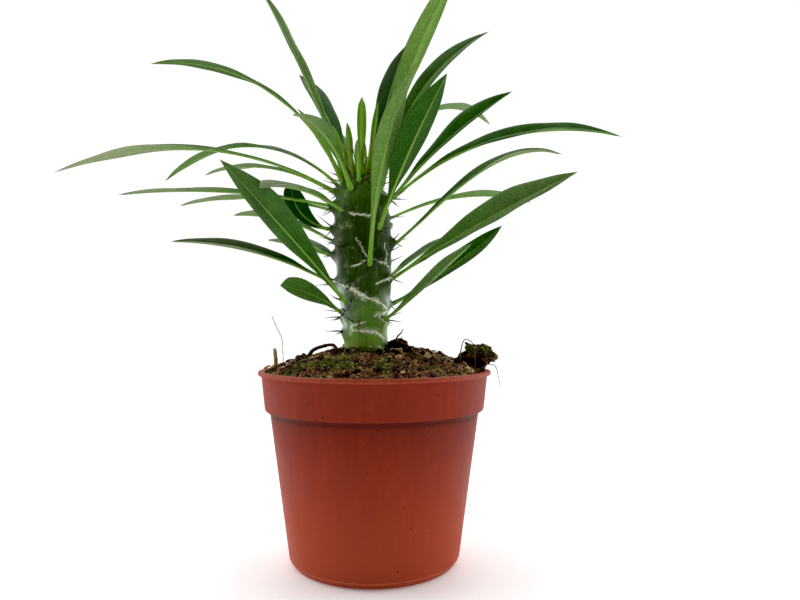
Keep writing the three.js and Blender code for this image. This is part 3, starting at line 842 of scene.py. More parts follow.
# %% Measures of the stem
soil_line = 105 * mm
stem_height = 92 * mm
stem_radius = 13.2 * mm
stem_foot = Vector((-4.5 * mm, 0, 0))
stem_lean = 3 * mm
knob_height = 4.8 * mm
knob_spread = 3.3 * mm
stem_outline = [(-1, 0.8), (0, 0.87), (0.22, 0.84), (0.45, 0.96), (0.7, 1), (0.88, 0.98),
                (0.95, 0.82), (1, 0.56), (1.04, 0.26)]      # share of the height, and of the radius


def stem_axis(share):
    return stem_foot + Vector((-stem_lean * max(share, 0), 0, soil_line + share * stem_height))


def bare_radius(share):
    at, size = zip(*stem_outline)
    nearby = [np.interp(share + shift, at, size) for shift in (-0.05, -0.02, 0, 0.02, 0.05)]
    sharp = np.interp(share, at, size)
    return stem_radius * float(sharp if share > 0.93 else np.mean(nearby))


def knob_rise(share):
    grown = smoothstep(0.1, 0.4, share) * (1 - 0.6 * smoothstep(0.85, 1, share))
    return knob_height * float(0.45 + 0.55 * grown)


def on_stem(azimuth, share, height=0.0):
    return stem_axis(share) + outward(azimuth) * (bare_radius(share) + height)


# %% Knobs under the leaves, and the old ones between them
def knob_of(line):
    base = Vector(line["middle"][0])
    share = (base.z - soil_line) / stem_height
    away = base - stem_axis(share)
    return math.atan2(away.y, away.x), share


golden_turn = math.radians(137.5)
knob_room = 8 * mm
leaf_knobs = [knob_of(line) for line in leaf_lines.values()]
old_knobs = []
for i in range(48):
    azimuth, share = math.radians(200) + i * golden_turn, (13 + 1.6 * i) / 100
    place = on_stem(azimuth, share)
    if all((on_stem(*knob) - place).length >= knob_room for knob in leaf_knobs + old_knobs):
        old_knobs.append((azimuth, share))
knobs = leaf_knobs + old_knobs
print("knobs:", len(leaf_knobs), "with a leaf and", len(old_knobs), "without")

# %% Spines, found as the sharp points of the solid stem
def spine_tips():
    solid = welded("stem")
    found = []
    for vert in solid.verts:
        share = (vert.co.z - soil_line) / stem_height
        axis_point = stem_axis(share)
        beyond = (vert.co - axis_point).length - bare_radius(min(share, 1)) - knob_rise(share)
        if beyond < 1.6 * mm and vert.co.z < stem_axis(1.06).z:
            continue
        arms = [vert.co - e.other_vert(vert).co for e in vert.link_edges]
        if min(arm.length for arm in arms) < 1.5 * mm:
            continue
        along = sum((arm.normalized() for arm in arms), Vector()).normalized()
        if along.dot(arms[0].normalized()) > 0.9:
            found.append((vert.co.copy(), along, sum(arm.length for arm in arms) / len(arms)))
    solid.free()
    return found


spine_list = spine_tips()
print("spines:", len(spine_list))

# %% [markdown]
# The skin between the knobs is not plain. Pale corky seams run slantwise below the knobs,
# where the skin has stretched as the stem grew. Pale silvery patches low on its left and right
# edges are a painted sheen, the shine of a waxy skin. There is a corky spot at the left of its
# foot, and dark woolly spots where the spines come out. Each is worked out as a mark on the
# points: how near a point lies to a seam, a patch or a root.

# %% Seams of the skin
# Each seam has half its width in millimetres, and a short line of places on the stem: degrees
# round it and millimetres above the soil.
seam_routes = [
    (0.75, [(190, 39), (230, 35.5), (253, 33), (265, 30.4), (288, 28.4), (316, 26), (338, 23.4)]),
    (1.2, [(246, 34), (262, 31), (274, 29.6)]),
    (0.45, [(251, 72), (266, 71), (282, 71)]),
    (0.5, [(287, 71), (298, 72)]),
    (0.35, [(260, 59), (271, 54), (279, 50)]),
    (0.35, [(247, 45), (265, 46), (276, 48)]),
    (0.35, [(323, 57), (315, 51), (331, 46), (352, 42)]),
    (0.35, [(294, 48), (323, 46.5)]),
    (0.6, [(300, 36), (316, 38), (330, 39.5)]),
    (0.7, [(297, 20), (319, 21.3), (345, 22.6)]),
    (0.55, [(306, 19), (324, 17), (344, 18)]),
    (0.5, [(238, 15), (255, 15.5), (272, 17)]),
    (0.6, [(228, 10), (236, 14), (244, 12)]),
    (0.95, [(262, 12.4), (282, 12), (303, 11.3), (326, 8)]),
    (0.5, [(238, 12), (255, 12.3)]),
    (0.9, [(306, 4.2), (322, 3), (340, 2.5)]),
    (0.5, [(20, 12), (48, 19), (82, 22)]),
    (0.8, [(96, 34), (128, 28), (160, 25)]),
    (0.6, [(140, 12), (170, 9), (198, 14)]),
    (0.4, [(40, 44), (70, 38), (92, 36)]),
    (0.4, [(150, 56), (172, 49)]),
    (0.35, [(10, 60), (34, 53), (56, 51)]),
    (1.0, [(60, 10), (90, 7), (120, 8)]),
]


def seam_marks(points):
    """How near each point lies to a seam, from 0 to 1. Seams waver a little."""
    strongest = np.zeros(len(points))
    for width, route in seam_routes:
        spots = []
        steps = np.linspace(0, 1, 12 * len(route))
        for turn, height in curve_through(route, steps):
            wiggle = 0.9 * noise.noise(Vector((turn * 0.15, height * 0.4, 2)))
            spots.append(on_stem(math.radians(turn), (height + wiggle) * mm / stem_height))
        away = nearest(points, np.array(spots)) / (width * mm)
        strongest = np.maximum(strongest, np.exp(-away ** 2))
    return strongest


def nearest(points, targets):
    closest = np.full(len(points), np.inf)
    for target in targets:
        closest = np.minimum(closest, ((points - target) ** 2).sum(1))
    return np.sqrt(closest)


# %% Draw the stem's skin
stem_sides = 220
stem_rows = 330
buried = 9 * mm
crown_share = 1.03
fullness = 1.7 * mm         # how far the skin swells out between the knobs


def stem_skin():
    shares = np.linspace(-buried / stem_height, crown_share, stem_rows)
    turns = np.linspace(0, 2 * math.pi, stem_sides, endpoint=False)
    base = np.array([[on_stem(turn, share) for turn in turns] for share in shares]).reshape(-1, 3)
    raised = np.zeros(len(base))
    for azimuth, share in knobs:
        peak = np.array(on_stem(azimuth, share))
        offset = base - peak
        flat = np.sqrt(offset[:, 0] ** 2 + offset[:, 1] ** 2)
        drop = offset[:, 2] / np.where(offset[:, 2] > 0, 0.82, 1.3)
        away = np.sqrt(flat ** 2 + drop ** 2) / knob_spread
        knob = knob_rise(share) * np.exp(-(away ** 2))
        raised = np.maximum(raised, knob) + 0.15 * np.minimum(raised, knob)
    row_share = np.repeat(shares, stem_sides)
    filled = fullness * smoothstep(0.12, 0.35, row_share) * (1 - smoothstep(0.75, 0.95, row_share))
    return row_share, turns, base, np.hypot(raised, filled)


row_share, turns, base, raised = stem_skin()
seams = seam_marks(base)
roots = np.array([tip - along * length for tip, along, length in spine_list])
out_dir = np.tile(np.array([outward(turn) for turn in turns]), (stem_rows, 1))
grain = noise_at(base, 420, 420, 70)
lumps = noise_at(base, 110, 110, 90)
broken = noise_at(base, 300, 300, 300)
relief = raised + (0.09 * grain + 0.35 * lumps + 0.16 * seams) * mm
skin_points = base + out_dir * relief[:, None]
wool = np.exp(-(nearest(skin_points, roots) / (1.0 * mm)) ** 2)
# Each patch of painted sheen, on the stem's left and right edges: degrees round the stem, share of its
# height, size in millimetres.
edge_sheen_spots = [(204, 0.26, 6.5), (206, 0.17, 4.5), (208, 0.36, 4.0), (344, 0.3, 4.2),
             (188, 0.5, 4.0), (350, 0.1, 3.5)]
edge_sheen = np.zeros(len(base))
for turn, share, size in edge_sheen_spots:
    away = nearest(base, [np.array(on_stem(math.radians(turn), share))]) / (size * mm)
    edge_sheen = np.maximum(edge_sheen, np.exp(-away ** 2) * np.clip(0.8 + 0.9 * broken, 0, 1))
corky = np.array(on_stem(math.radians(243), 0.035))
bark = np.exp(-(nearest(base, [corky]) / (2.2 * mm)) ** 2)

# %% Close the skin and settle the stem
crown = stem_axis(crown_share) + Vector((0, 0, 2 * mm))
stem_faces = ring_faces(stem_rows, stem_sides)
top_ring = len(skin_points) - stem_sides
for side in range(stem_sides):
    stem_faces.append((top_ring + side, top_ring + (side + 1) % stem_sides, len(skin_points)))
stem_faces.append(list(range(stem_sides))[::-1])
stem_marks = {
    "tall": np.append(row_share, crown_share),
    "knob": np.append(raised / knob_height, 0),
    "seam": np.append(seams, 0),
    "wool": np.append(wool, 0),
    "edge_sheen": np.append(edge_sheen, 0),
    "bark": np.append(bark, 0),
}


def stem_green():
    paint = Finish("stem_green", roughness=0.42, Specular_IOR_Level=0.09)
    fibres = paint.clouds(700, paint.place((1, 1, 0.08)), detail=4, rough=0.65)
    patches = paint.clouds(130, detail=4)
    tall = paint.mark("tall")
    mixed = paint.sum("ADD", tall, paint.sum("MULTIPLY_ADD", patches, 0.3, -0.15))
    skin = paint.colours(mixed, (0.0, "86ac48"), (0.12, "76a03c"), (0.26, "54812e"),
                         (0.38, "344f1c"), (0.62, "283a18"), (0.8, "2f481b"), (1.0, "4a7024"))
    skin = paint.over(skin, paint.band(fibres, 0.45, 0.75, 0.0, 0.35), "66853a")
    skin = paint.over(skin, paint.band(fibres, 0.5, 0.25, 0.0, 0.5), "18240f")
    knob = paint.band(paint.mark("knob"), 0.25, 0.9, 0.0, 0.35)
    skin = paint.over(skin, knob, "2c421c")
    worn = paint.times(paint.band(paint.clouds(210, detail=5, rough=0.7), 0.52, 0.68),
                       paint.band(paint.clouds(45), 0.42, 0.6))
    skin = paint.over(skin, worn, "8fa070", 0.55)
    # Painted sheen: pale silvery patches on the stem's left and right edges.
    skin = paint.over(skin, paint.mark("edge_sheen"), "c6d2d2", 0.95)
    skin = paint.over(skin, paint.mark("bark"), "b0a062")
    crumbly = paint.clouds(650, detail=5, rough=0.75)
    feathered = paint.sum("MULTIPLY_ADD", crumbly, 2.3, -1.15)
    feathered = paint.sum("ADD", feathered, paint.mark("seam"))
    feathered = paint.times(feathered, paint.band(paint.mark("seam"), 0.02, 0.4))
    skin = paint.over(skin, paint.band(feathered, 0.05, 0.75, 0.0, 0.6), "9db27c")
    halo = paint.sum("POWER", paint.mark("seam"), 0.16)
    torn = paint.node("ShaderNodeVectorMath", operation="MULTIPLY_ADD")
    paint.feed(torn.inputs[0], paint.pattern("ShaderNodeTexNoise", 500).outputs["Color"])
    paint.feed(torn.inputs[1], (1.6 * mm, 1.6 * mm, 1.6 * mm))
    paint.feed(torn.inputs[2], paint.place((1, 1, 1.5)))
    threads = paint.band(paint.cracks(420, torn.outputs[0]), 0.09, 0.02)
    threads = paint.times(threads, paint.band(halo, 0.3, 0.75, 0.0, 0.85))
    threads = paint.times(threads, paint.band(paint.clouds(240), 0.42, 0.6))
    seam = paint.sum("MAXIMUM", paint.band(feathered, 0.42, 1.05), threads)
    skin = paint.blend(seam, skin, paint.colours(patches, (0.35, "dfe3c8"), (0.65, "fffff2")))
    skin = paint.over(skin, paint.band(paint.mark("wool"), 0.3, 0.9, 0.0, 0.85), "241d18")
    dull = paint.band(patches, 0.3, 0.7, 0.34, 0.5)
    dull = paint.sum("ADD", dull, paint.times(seam, 0.3))
    relief = paint.sum("ADD", fibres, paint.times(paint.clouds(1500), 0.4))
    return paint.coat(skin, dull, relief, 0.12 * mm)


stem = build("stem_skin", [*skin_points, crown], stem_faces, stem_marks)
settle(stem, stem_green(), "stem_skin", "stem")
print("stem points:", len(stem.data.vertices))

# %% [markdown]
# ## The spines
# The spines come in pairs with a short third one, stiff, straight or slightly bent, grey at the
# root and purple-brown towards a needle point. Each is a thin tapered tube drawn along a
# gentle curve from its root, just inside the knob, to the tip that the solid stem gives.

# %% Draw a tapered tube
def tapered_tube(route, radii, sides=8):
    """Points and faces of a closed tube along route. Its last ring closes on the last point."""
    route = [Vector(p) for p in route]
    points, shares = [], []
    turned = None
    for i, spot in enumerate(route[:-1]):
        ahead = (route[i + 1] - spot).normalized()
        if turned is None:
            turned = ahead.orthogonal().normalized()
        turned = (turned - ahead * turned.dot(ahead)).normalized()
        other = ahead.cross(turned)
        for side in range(sides):
            angle = 2 * math.pi * side / sides
            points.append(spot + (turned * math.cos(angle) + other * math.sin(angle)) * radii[i])
            shares.append(i / (len(route) - 1))
    rings = len(route) - 1
    points += [route[0], route[-1]]
    shares += [0, 1]
    return points, ring_faces(rings, sides) + end_faces(rings, sides), shares


def join(parts):
    """Joins (points, faces, shares) lists into one."""
    points, faces, shares = [], [], []
    for more, more_faces, more_shares in parts:
        start = len(points)
        points += list(more)
        faces += [[start + corner for corner in face] for face in more_faces]
        shares += list(more_shares)
    return points, faces, shares


def tubes(name, parts, finish, slot, node):
    points, faces, along = join(parts)
    settle(build(name, points, faces, {"along": along}), finish, slot, node)
    print(name, "has", len(parts), "tubes")


# %% Make the spines
spine_radius = 0.46 * mm
spine_steps = 9


def spine(tip, along, length):
    root = tip - along * (length + 1.2 * mm)
    bow = along.orthogonal().normalized()
    bow.rotate(Matrix.Rotation(chance.uniform(0, 2 * math.pi), 3, along))
    bow *= chance.uniform(0.0, 0.05) * length
    route, radii = [], []
    for step in range(spine_steps + 1):
        t = step / spine_steps
        route.append(root.lerp(tip, t) + bow * math.sin(math.pi * t))
        radii.append(spine_radius * (1 - t) ** 0.8 * (1.25 - 0.25 * min(1, 4 * t)))
    return tapered_tube(route, radii)


def spine_horn():
    paint = Finish("spine_horn", roughness=0.45)
    along = paint.mark("along")
    horn = paint.colours(along, (0.0, "2c281c"), (0.3, "3a3432"), (0.6, "2e242b"), (1.0, "1c1016"))
    horn = paint.over(horn, paint.band(paint.clouds(900), 0.45, 0.75, 0.0, 0.3), "6a655e")
    fresh = paint.band(paint.height(), stem_axis(0.93).z, stem_axis(1.02).z, 0.0, 0.8)
    horn = paint.blend(fresh, horn, paint.colours(along, (0.2, "7c5a22"), (0.7, "8a3c20")))
    return paint.coat(horn, bump=paint.clouds(2500), depth=0.04 * mm)


tubes("stem_spines", [spine(*one) for one in spine_list], spine_horn(), "stem_skin", "stem")

# %% [markdown]
# ## The shoots of the crown
# Between the stalks of the young leaves the crown is crowded with shoots: leaves that have
# barely begun, yellow-green, thin and upright, some with a reddish tip. They are drawn as
# thin tapered tubes that start inside the crown and lean outwards a little, more so near its edge.

# %% Draw the shoots
shoot_count = 34
shoot_steps = np.linspace(0, 1, 9)


def shoot(k):
    around = k * golden_turn
    out = math.sqrt((k + 0.5) / shoot_count)
    foot = stem_axis(0.97 - 0.03 * out) + outward(around) * out * 0.62 * stem_radius
    lean = outward(around) * (0.1 + 0.35 * out) + Vector((0, 0, 1))
    lean += outward(chance.uniform(0, 2 * math.pi)) * 0.12
    length = chance.uniform(17, 33) * mm * (1 - 0.25 * out)
    bow = outward(around) * chance.uniform(-0.12, 0.08) * length
    route = [foot + lean * length * t + bow * math.sin(math.pi * t) for t in shoot_steps]
    thick = chance.uniform(0.55, 1.0) * mm
    return tapered_tube(route, [thick * (1 - 0.75 * t ** 2.5) for t in shoot_steps])


def shoot_green():
    paint = Finish("shoot_green", roughness=0.45, Specular_IOR_Level=0.15)
    along = paint.mark("along")
    tint = paint.colours(along, (0.0, "3f5c14"), (0.35, "6d9422"), (0.8, "93b13a"), (1.0, "8a4a24"))
    tint = paint.over(tint, paint.band(paint.clouds(500), 0.4, 0.65, 0.0, 0.5), "5a7d1e")
    return paint.coat(tint, bump=paint.clouds(1800), depth=0.05 * mm)


tubes("crown_shoots", [shoot(k) for k in range(shoot_count)], shoot_green(), "stem_skin", "stem")

# %% [markdown]
# ## The soil
# Potting soil is peat, bark dust and old roots. Seen close, it is a bed of crumbs with a ragged
# edge. A bed alone looks like a cushion, however rough, and loose crumbs alone leave
# holes. So a rough bed is drawn first, over the height of the solid soil, and some thousands
# of crumbs are then strewn over it and pressed in.

# %% Feel the height of the soil
soil_feeler = feeler("soil")
soil_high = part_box("soil")[1]
soil_radius = soil_high.x
above_all = soil_high.z + 50 * mm
soil_edge = pot_height - 1.5 * mm


def solid_height(x, y):
    hit = soil_feeler.ray_cast(Vector((x, y, above_all)), Vector((0, 0, -1)))
    return hit[0].z if hit[0] and hit[0].z > soil_edge - 3 * mm else None


height_rings, height_sides = 24, 48
height_table = np.zeros((height_rings + 1, height_sides))
for side in range(height_sides):
    turn = outward(2 * math.pi * side / height_sides)
    known = soil_edge
    for ring in range(height_rings, -1, -1):
        radius = soil_radius * min(ring / height_rings, 0.985)
        near = [solid_height(turn.x * radius + dx * mm, turn.y * radius + dy * mm)
                for dx, dy in ((0, 0), (1.5, 0), (-1.5, 0), (0, 1.5), (0, -1.5))]
        near = [z for z in near if z is not None]
        known = sum(near) / len(near) if near else known
        height_table[ring, side] = known


def soil_height(x, y):
    ring = min(math.hypot(x, y) / soil_radius, 0.999) * height_rings
    side = (math.atan2(y, x) / (2 * math.pi)) % 1 * height_sides
    r, s = int(ring), int(side)
    a, b = ring - r, side - s
    after = (s + 1) % height_sides
    near = height_table[r, s] * (1 - b) + height_table[r, after] * b
    far = height_table[r + 1, s] * (1 - b) + height_table[r + 1, after] * b
    return near * (1 - a) + far * a


def rough(x, y):
    spot = Vector((x, y, 0)) / mm
    big = noise.noise(spot * 0.16)
    lumps = 0.5 - abs(noise.noise(spot * 0.45))
    fine = noise.noise(spot * 1.3)
    return (0.7 * big + 1.1 * lumps + 0.35 * fine) * mm


print("soil stands", round((soil_high.z - pot_height) / mm, 1), "mm above the lip at its highest")

# %% Draw the bed
bed_rings, bed_sides = 96, 300
side_gap = 0.5 * mm         # the soil keeps this clear of the pot's wall
bed_floor = floor_height + 0.3 * mm
bed_profile = [(inside_at(floor_height + 2 * sliver) - side_gap, bed_floor),
               (body_top - wall - side_gap, body_top_height),
               (collar_foot - wall - side_gap, collar_low + wall),
               (soil_radius, soil_edge - 1.5 * mm)]


def algae_at(x, y):
    """Green film grows in patches, most of it at the front left."""
    patch = noise.noise(Vector((x / mm * 0.085 + 3, y / mm * 0.085, 5)))
    left = math.exp(-((x + 26 * mm) ** 2 + (y + 36 * mm) ** 2) / (20 * mm) ** 2)
    return min(1, max(0, 1.3 * patch + 0.95 * left - 0.15))


bed_points, bed_tone, bed_algae = [], [], []
for radius, height in bed_profile:
    for side in range(bed_sides):
        bed_points.append(outward(2 * math.pi * side / bed_sides) * radius + Vector((0, 0, height)))
        bed_tone.append(0.3)
        bed_algae.append(0)
for ring in range(bed_rings):
    radius = soil_radius * (1 - ring / bed_rings)
    for side in range(bed_sides):
        spot = outward(2 * math.pi * side / bed_sides) * radius
        lift = rough(spot.x, spot.y)
        bed_points.append(Vector((spot.x, spot.y, soil_height(spot.x, spot.y) - 0.6 * mm + lift)))
        # Painted shade and light: the bed's tone follows its height, darker in the hollows and paler on
        # the bumps.
        bed_tone.append(0.45 + 0.25 * lift / mm)
        bed_algae.append(algae_at(spot.x, spot.y))
bed_points += [Vector((0, 0, bed_floor)), Vector((0, 0, soil_height(0, 0)))]
bed_tone += [0.3, 0.4]
bed_algae += [0, 0]
bed_rows = len(bed_profile) + bed_rings
bed_faces = ring_faces(bed_rows, bed_sides) + end_faces(bed_rows, bed_sides)
bed = build("soil_bed", bed_points, bed_faces, {"tone": bed_tone, "algae": bed_algae})

# %% Soil finish
def soil_earth():
    paint = Finish("potting_earth", roughness=0.9, Specular_IOR_Level=0.3)
    flecks = paint.clouds(900, detail=5, rough=0.7)
    tone = paint.sum("ADD", paint.mark("tone"), paint.sum("MULTIPLY_ADD", flecks, 0.7, -0.35))
    earth = paint.colours(tone, (0.08, "0e0907"), (0.3, "392519"), (0.5, "70492f"),
                          (0.72, "a97d4e"), (1.0, "ecd3a8"))
    film = paint.times(paint.mark("algae"), paint.band(flecks, 0.35, 0.6))
    earth = paint.blend(film, earth, paint.colours(flecks, (0.4, "40601e"), (0.65, "8fac46")))
    return paint.coat(earth, paint.band(flecks, 0.3, 0.7, 0.75, 0.98), flecks, 0.25 * mm)


earth = soil_earth()
settle(bed, earth, "potting_soil", "soil")

# %% Crumb shapes
def crumb_shapes(subdivisions, count):
    shapes = []
    corners, faces = ball(subdivisions)
    for k in range(count):
        unlike = Vector((k * 3.1, 0, 0))
        swell = np.array([1 + 0.9 * noise.noise(corner * 2.3 + unlike) for corner in corners])
        squash = np.array([1.0, chance.uniform(0.6, 1), chance.uniform(0.45, 0.9)])
        shapes.append((np.array(corners) * swell[:, None] * squash, faces))
    return shapes


small_shapes = crumb_shapes(1, 12)
large_shapes = crumb_shapes(2, 10)


def strew(spots, shapes):
    """spots are (place, size, tone, algae). Returns points, faces and marks of all the crumbs."""
    points, faces, tones, films = [], [], [], []
    for place, size, tone, film in spots:
        corners, corner_faces = chance.choice(shapes)
        turn = Matrix.Rotation(chance.uniform(0, 2 * math.pi), 3, "Z")
        turn = turn @ Matrix.Rotation(chance.uniform(0, 3), 3, "X")
        start = len(points)
        points += list(corners @ np.array(turn).T * size + np.array(place))
        faces += [[start + c for c in face] for face in corner_faces]
        tones += [tone] * len(corners)
        films += [film] * len(corners)
    return points, faces, {"tone": tones, "algae": films}


# %% Strew the crumbs
crumb_tones = (0.08, 0.2, 0.32, 0.44, 0.56, 0.9)    # dark peat, brown bark, pale old roots
crumb_count = 11500
heap_count = 420
clump_count = 800


def crumb_tone():
    return min(1.0, max(0.0, chance.choice(crumb_tones) + chance.gauss(0, 0.1)))


def crumb_spots(count, smallest, largest):
    spots = []
    for _ in range(count):
        radius = (soil_radius - 1.2 * mm) * math.sqrt(chance.random())
        spot = outward(chance.uniform(0, 2 * math.pi)) * radius
        size = smallest * (largest / smallest) ** (chance.random() ** 1.7)
        height = soil_height(spot.x, spot.y) - 0.5 * mm + rough(spot.x, spot.y) + 0.35 * size
        if (Vector((spot.x, spot.y, 0)) - stem_foot).length < 0.8 * stem_radius:
            continue
        tone = crumb_tone()
        film = algae_at(spot.x, spot.y) * chance.uniform(0.5, 1.2)
        spots.append((Vector((spot.x, spot.y, height)), size, tone, film))
    return spots


def heap_spots(count):
    """Crumbs piled against the left of the stem's foot."""
    spots = []
    for _ in range(count):
        azimuth = math.radians(chance.gauss(222, 26))
        away = stem_radius * chance.uniform(0.78, 1.35)
        spot = stem_foot + outward(azimuth) * away
        pile = 3.2 * mm * math.exp(-((away / stem_radius - 0.9) / 0.22) ** 2) * chance.random()
        tone = crumb_tone()
        place = Vector((spot.x, spot.y, soil_height(spot.x, spot.y) + pile))
        spots.append((place, chance.uniform(0.3, 0.95) * mm, tone, 0.3 * chance.random()))
    return spots


def lay(name, spots, shapes):
    points, faces, marks = strew(spots, shapes)
    settle(build(name, points, faces, marks, smooth=False), earth, "potting_soil", "soil")
    print(name, "has", len(spots), "crumbs and", len(faces), "faces")


small_spots = crumb_spots(crumb_count, 0.2 * mm, 0.75 * mm) + heap_spots(heap_count)
half_way = len(small_spots) // 2
lay("soil_crumbs_first", small_spots[:half_way], small_shapes)
lay("soil_crumbs_second", small_spots[half_way:], small_shapes)
lay("soil_clumps", crumb_spots(clump_count, 0.6 * mm, 1.9 * mm), large_shapes)

# %% Loose fibres
fibre_count = 520
fibre_radius = 0.09 * mm
fibre_steps = 6


def fibre(around):
    radius = (soil_radius - 2 * mm) * math.sqrt(chance.uniform(0.06, 1))
    spot = outward(around) * radius
    heading = chance.uniform(0, 2 * math.pi)
    length, lift = chance.uniform(2.5, 7) * mm, chance.uniform(0.1, 0.9)
    route = []
    for step in range(fibre_steps + 1):
        t = step / fibre_steps
        ahead = outward(heading + 1.4 * t * chance.choice((-1, 1)) * 0.5) * length * t
        x, y = spot.x + ahead.x, spot.y + ahead.y
        shrink = min(1.0, (soil_radius - 0.5 * mm) / math.hypot(x, y))
        x, y = x * shrink, y * shrink
        rise = 0.9 * mm * math.sin(math.pi * t) + lift * length * t * t * 0.35
        route.append(Vector((x, y, soil_height(x, y) - 0.2 * mm + rise)))
    radii = [fibre_radius * (1 - 0.5 * step / fibre_steps) for step in range(fibre_steps + 1)]
    return tapered_tube(route, radii, sides=5)


points, faces, along = join([fibre(2 * math.pi * k / fibre_count) for k in range(fibre_count)])
fibre_patch = 6 * mm        # fibres in one patch of this size are of one tone
fibre_tones = []
for p in points:
    patch = 37.0 * round(p.x / fibre_patch) + 11.0 * round(p.y / fibre_patch)
    fibre_tones.append(0.25 + 0.6 * (0.5 + 0.5 * math.sin(patch)))
fibres = build("soil_fibres", points, faces, {"tone": fibre_tones, "algae": [0.0] * len(points)})
settle(fibres, earth, "potting_soil", "soil")
print("fibres:", fibre_count)

# %% [markdown]
# ## Clods, moss and litter
# Two clods of soil sit on top, one against the stem and one on the right of the lip, green on
# its crown. Bits of straw, a chip, some roots and a tuft of moss lie about. Each one is small,
# but together they are what makes soil look like soil. They are drawn as what they are:
# lumps with crumbs on them, tubes along a curve, a heap of tiny leaves.

# %% Clods
clod_crumbs = 620


def clod(name, node, seed, green_crown, tone, raggedness, pressed=Vector((0, 0, 0))):
    heart, half = heart_and_half(node)
    corners, faces = ball(5)
    points, tones, films = [], [], []
    for corner in corners:
        away = corner.normalized()
        lump = 0.3 * noise.noise(away * 1.6 + Vector((seed, 0, 0)))
        lump += 0.14 * noise.noise(away * 5 + Vector((0, seed, 0)))
        pit = 0.07 * noise.noise(away * 13)
        size = 0.88 + raggedness * (lump + pit)
        points.append(heart + pressed + away * half * size)
        # Painted shade and light: the clod's tone follows its lumps, darker in the dips and paler on the
        # swellings.
        tones.append(tone + 1.2 * lump)
        films.append(green_crown * float(smoothstep(-0.1, 0.6, away.z)))
    spots = []
    for _ in range(clod_crumbs):
        k = chance.randrange(len(points))
        crumb = max(0.05, tone + chance.gauss(0, 0.22))
        size = chance.uniform(0.25, 0.95) * mm
        spots.append((points[k], size, crumb, films[k] * chance.random()))
    more, more_faces, more_marks = strew(spots, small_shapes)
    start = len(points)
    faces += [[start + c for c in face] for face in more_faces]
    marks = {"tone": tones + more_marks["tone"], "algae": films + more_marks["algae"]}
    settle(build(name, points + more, faces, marks), earth, "potting_soil", node)


clod("rim_clod", "soil_clod", 2.0, 0.5, 0.28, 1.3)
clod("stem_clod", "stem_side_clod", 7.0, 0.0, 0.14, 1.9, Vector((-0.9 * mm, 0, -1.2 * mm)))

# %% Finishes of roots, straw and wood
def wood(name, roughness, *stops):
    paint = Finish(name, roughness=roughness)
    fibres = paint.clouds(1400, paint.place((1, 1, 0.2)), detail=4, rough=0.7)
    tone = paint.colours(fibres, *stops)
    dull = paint.band(fibres, 0.3, 0.7, roughness - 0.1, roughness + 0.1)
    return paint.coat(tone, dull, fibres, 0.12 * mm)


root_bark = wood("root_bark", 0.85, (0.3, "1d110a"), (0.5, "3a2415"), (0.75, "6a4a2f"))
pale_root = wood("pale_root", 0.8, (0.3, "4f3a28"), (0.55, "7d6247"), (0.8, "a58c6a"))
straw = wood("dry_straw", 0.7, (0.3, "8f6a3e"), (0.55, "c29f68"), (0.8, "e0c794"))
chip_wood = wood("chip_wood", 0.8, (0.3, "a87b4c"), (0.55, "cfa272"), (0.8, "e8caa0"))


def strand(name, node, route, radius, finish, slot, knots=0.15, end_radius=0.4):
    places = curve_through([[c * mm for c in p] for p in route], np.linspace(0, 1, 12 * len(route)))
    radii = []
    for i in range(len(places)):
        t = i / (len(places) - 1)
        swell = 1 + knots * noise.noise(Vector((i * 0.33, radius / mm * 9, 1)))
        radii.append(radius * mm * swell * (1 - (1 - end_radius) * t))
    points, faces, _ = tapered_tube(places, radii)
    return settle(build(name, points, faces), finish, slot, node)


# %% Roots and straws
lip = pot_height / mm
rim = rim_radius / mm
clod_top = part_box("stem_side_clod")[1] / mm


# Each route is a few spots, in millimetres: to the right, to the back and up from its start,
# which is the left of the lip, the right of the lip or the top corner of the clod by the stem.
def from_left(*spots):
    return [(x - rim, y, lip + up) for x, y, up in spots]


def from_right(*spots):
    return [(rim + x, y, lip + up) for x, y, up in spots]


def from_clod(*spots):
    return [(clod_top.x + x, clod_top.y + y, clod_top.z + up) for x, y, up in spots]


strand("arched_root_bark", "arched_root", from_left(
    (25, -10, -1), (27.5, -10, 9), (34, -10, 12.5), (40, -11, 12.5), (42.5, -13, 5)),
    1.0, root_bark, "wood_bits", 0.5, 0.8)
strand("looped_root_bark", "looped_root", from_right(
    (-16.5, -9, -1), (-16, -9, 9), (-14.2, -10, 15.5), (-10.5, -11, 14.5),
    (-9, -12, 9), (-9, -12.5, -1)),
    0.35, pale_root, "wood_bits")
strand("hanging_root_bark", "hanging_root", from_right(
    (-6, -12.5, 1), (-3, -13, 3.4), (1, -13.5, 2.6), (2.6, -14, -3), (3.6, -14, -8)),
    0.3, pale_root, "wood_bits")
strand("rim_hair", "hanging_root", from_right(
    (-9, -8, 2.5), (-4, -9, 6.2), (1, -10, 6.4), (6, -10.5, 4.6)),
    0.16, pale_root, "wood_bits")
strand("dry_stalk_fibre", "dry_stalk", from_left(
    (13, -6, -1), (12.8, -6, 8), (12.2, -6, 16), (9.5, -6, 22), (6.8, -6, 28)),
    0.2, pale_root, "dry_straw", 0.3, 0.8)
strand("straw_stub_tube", "straw_stub", from_left((10, -9, -1), (9.6, -9, 6), (9, -9, 11.5)),
       1.2, straw, "dry_straw", 0.2, 0.75)
strand("straw_bit_fibre", "straw_bit", from_left((5, -14, 1.5), (8, -17, 3), (11, -21, 1.5)),
       0.7, straw, "dry_straw", 0.3, 0.5)
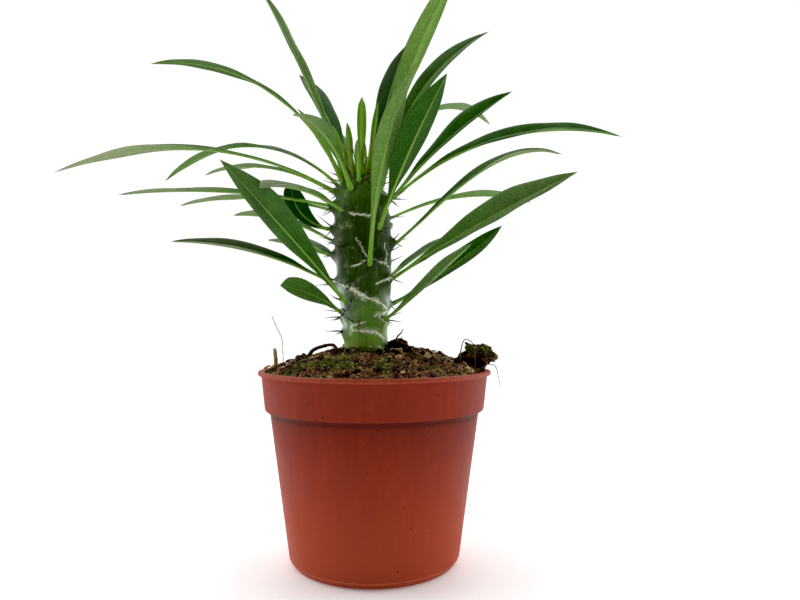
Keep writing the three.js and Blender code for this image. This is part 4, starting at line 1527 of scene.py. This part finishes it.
strand("clod_twig", "stem_side_clod", from_clod(
    (-7.6, -4.4, -3), (-6.4, -4.6, 0.4), (-4.6, -4.8, 2.2), (-3.4, -4.8, 4.4)),
    0.55, root_bark, "potting_soil", 0.5, 0.35)
print("roots and straws laid, and a twig on the clod")

# %% Wood chip and moss
sprig_count = 700
sprig_radii = (0.08 * mm, 0.17 * mm, 0.13 * mm, 0)
sprig_droop = 0.2 * mm


def chip():
    heart, half = heart_and_half("wood_chip")
    block = bmesh.new()
    bmesh.ops.create_cube(block, size=2.2)
    bmesh.ops.subdivide_edges(block, edges=block.edges, cuts=6, use_grid_fill=True)
    corners, faces = unpacked(block)
    points = []
    for corner in corners:
        ragged = 1 + 0.35 * noise.noise(corner * 2.3) + 0.15 * noise.noise(corner * 7)
        points.append(heart + corner * half * ragged)
    settle(build("pale_chip", points, faces), chip_wood, "wood_bits", "wood_chip")


def moss():
    heart, half = heart_and_half("moss_tuft")
    sprigs = []
    for _ in range(sprig_count):
        away = Vector((chance.gauss(0, 1), chance.gauss(0, 1), abs(chance.gauss(0, 1)) + 0.2))
        away.normalize()
        ragged = 0.5 + 0.35 * noise.noise(away * 2.2)
        root = heart + away * half * ragged - Vector((0, 0, 1.2 * mm))
        stray = Vector((chance.uniform(-1, 1), chance.uniform(-1, 1), chance.uniform(-1, 1)))
        lean = (away + stray * 0.5).normalized()
        reach = chance.uniform(0.5, 1.3) * mm
        route = [root + lean * reach * t - Vector((0, 0, sprig_droop * t * t)) for t in (0, 0.35, 0.7, 1)]
        sprigs.append(tapered_tube(route, sprig_radii, sides=5))
    paint = Finish("moss_green", roughness=0.7)
    tint = paint.colours(paint.mark("along"), (0.0, "3d5216"), (0.6, "6f8f2a"), (1.0, "a9bf55"))
    tint = paint.over(tint, paint.band(paint.clouds(500), 0.35, 0.65), "8a8436")
    finish = paint.coat(tint, bump=paint.clouds(3000), depth=0.05 * mm)
    tubes("moss_sprigs", sprigs, finish, "moss", "moss_tuft")


chip()
moss()
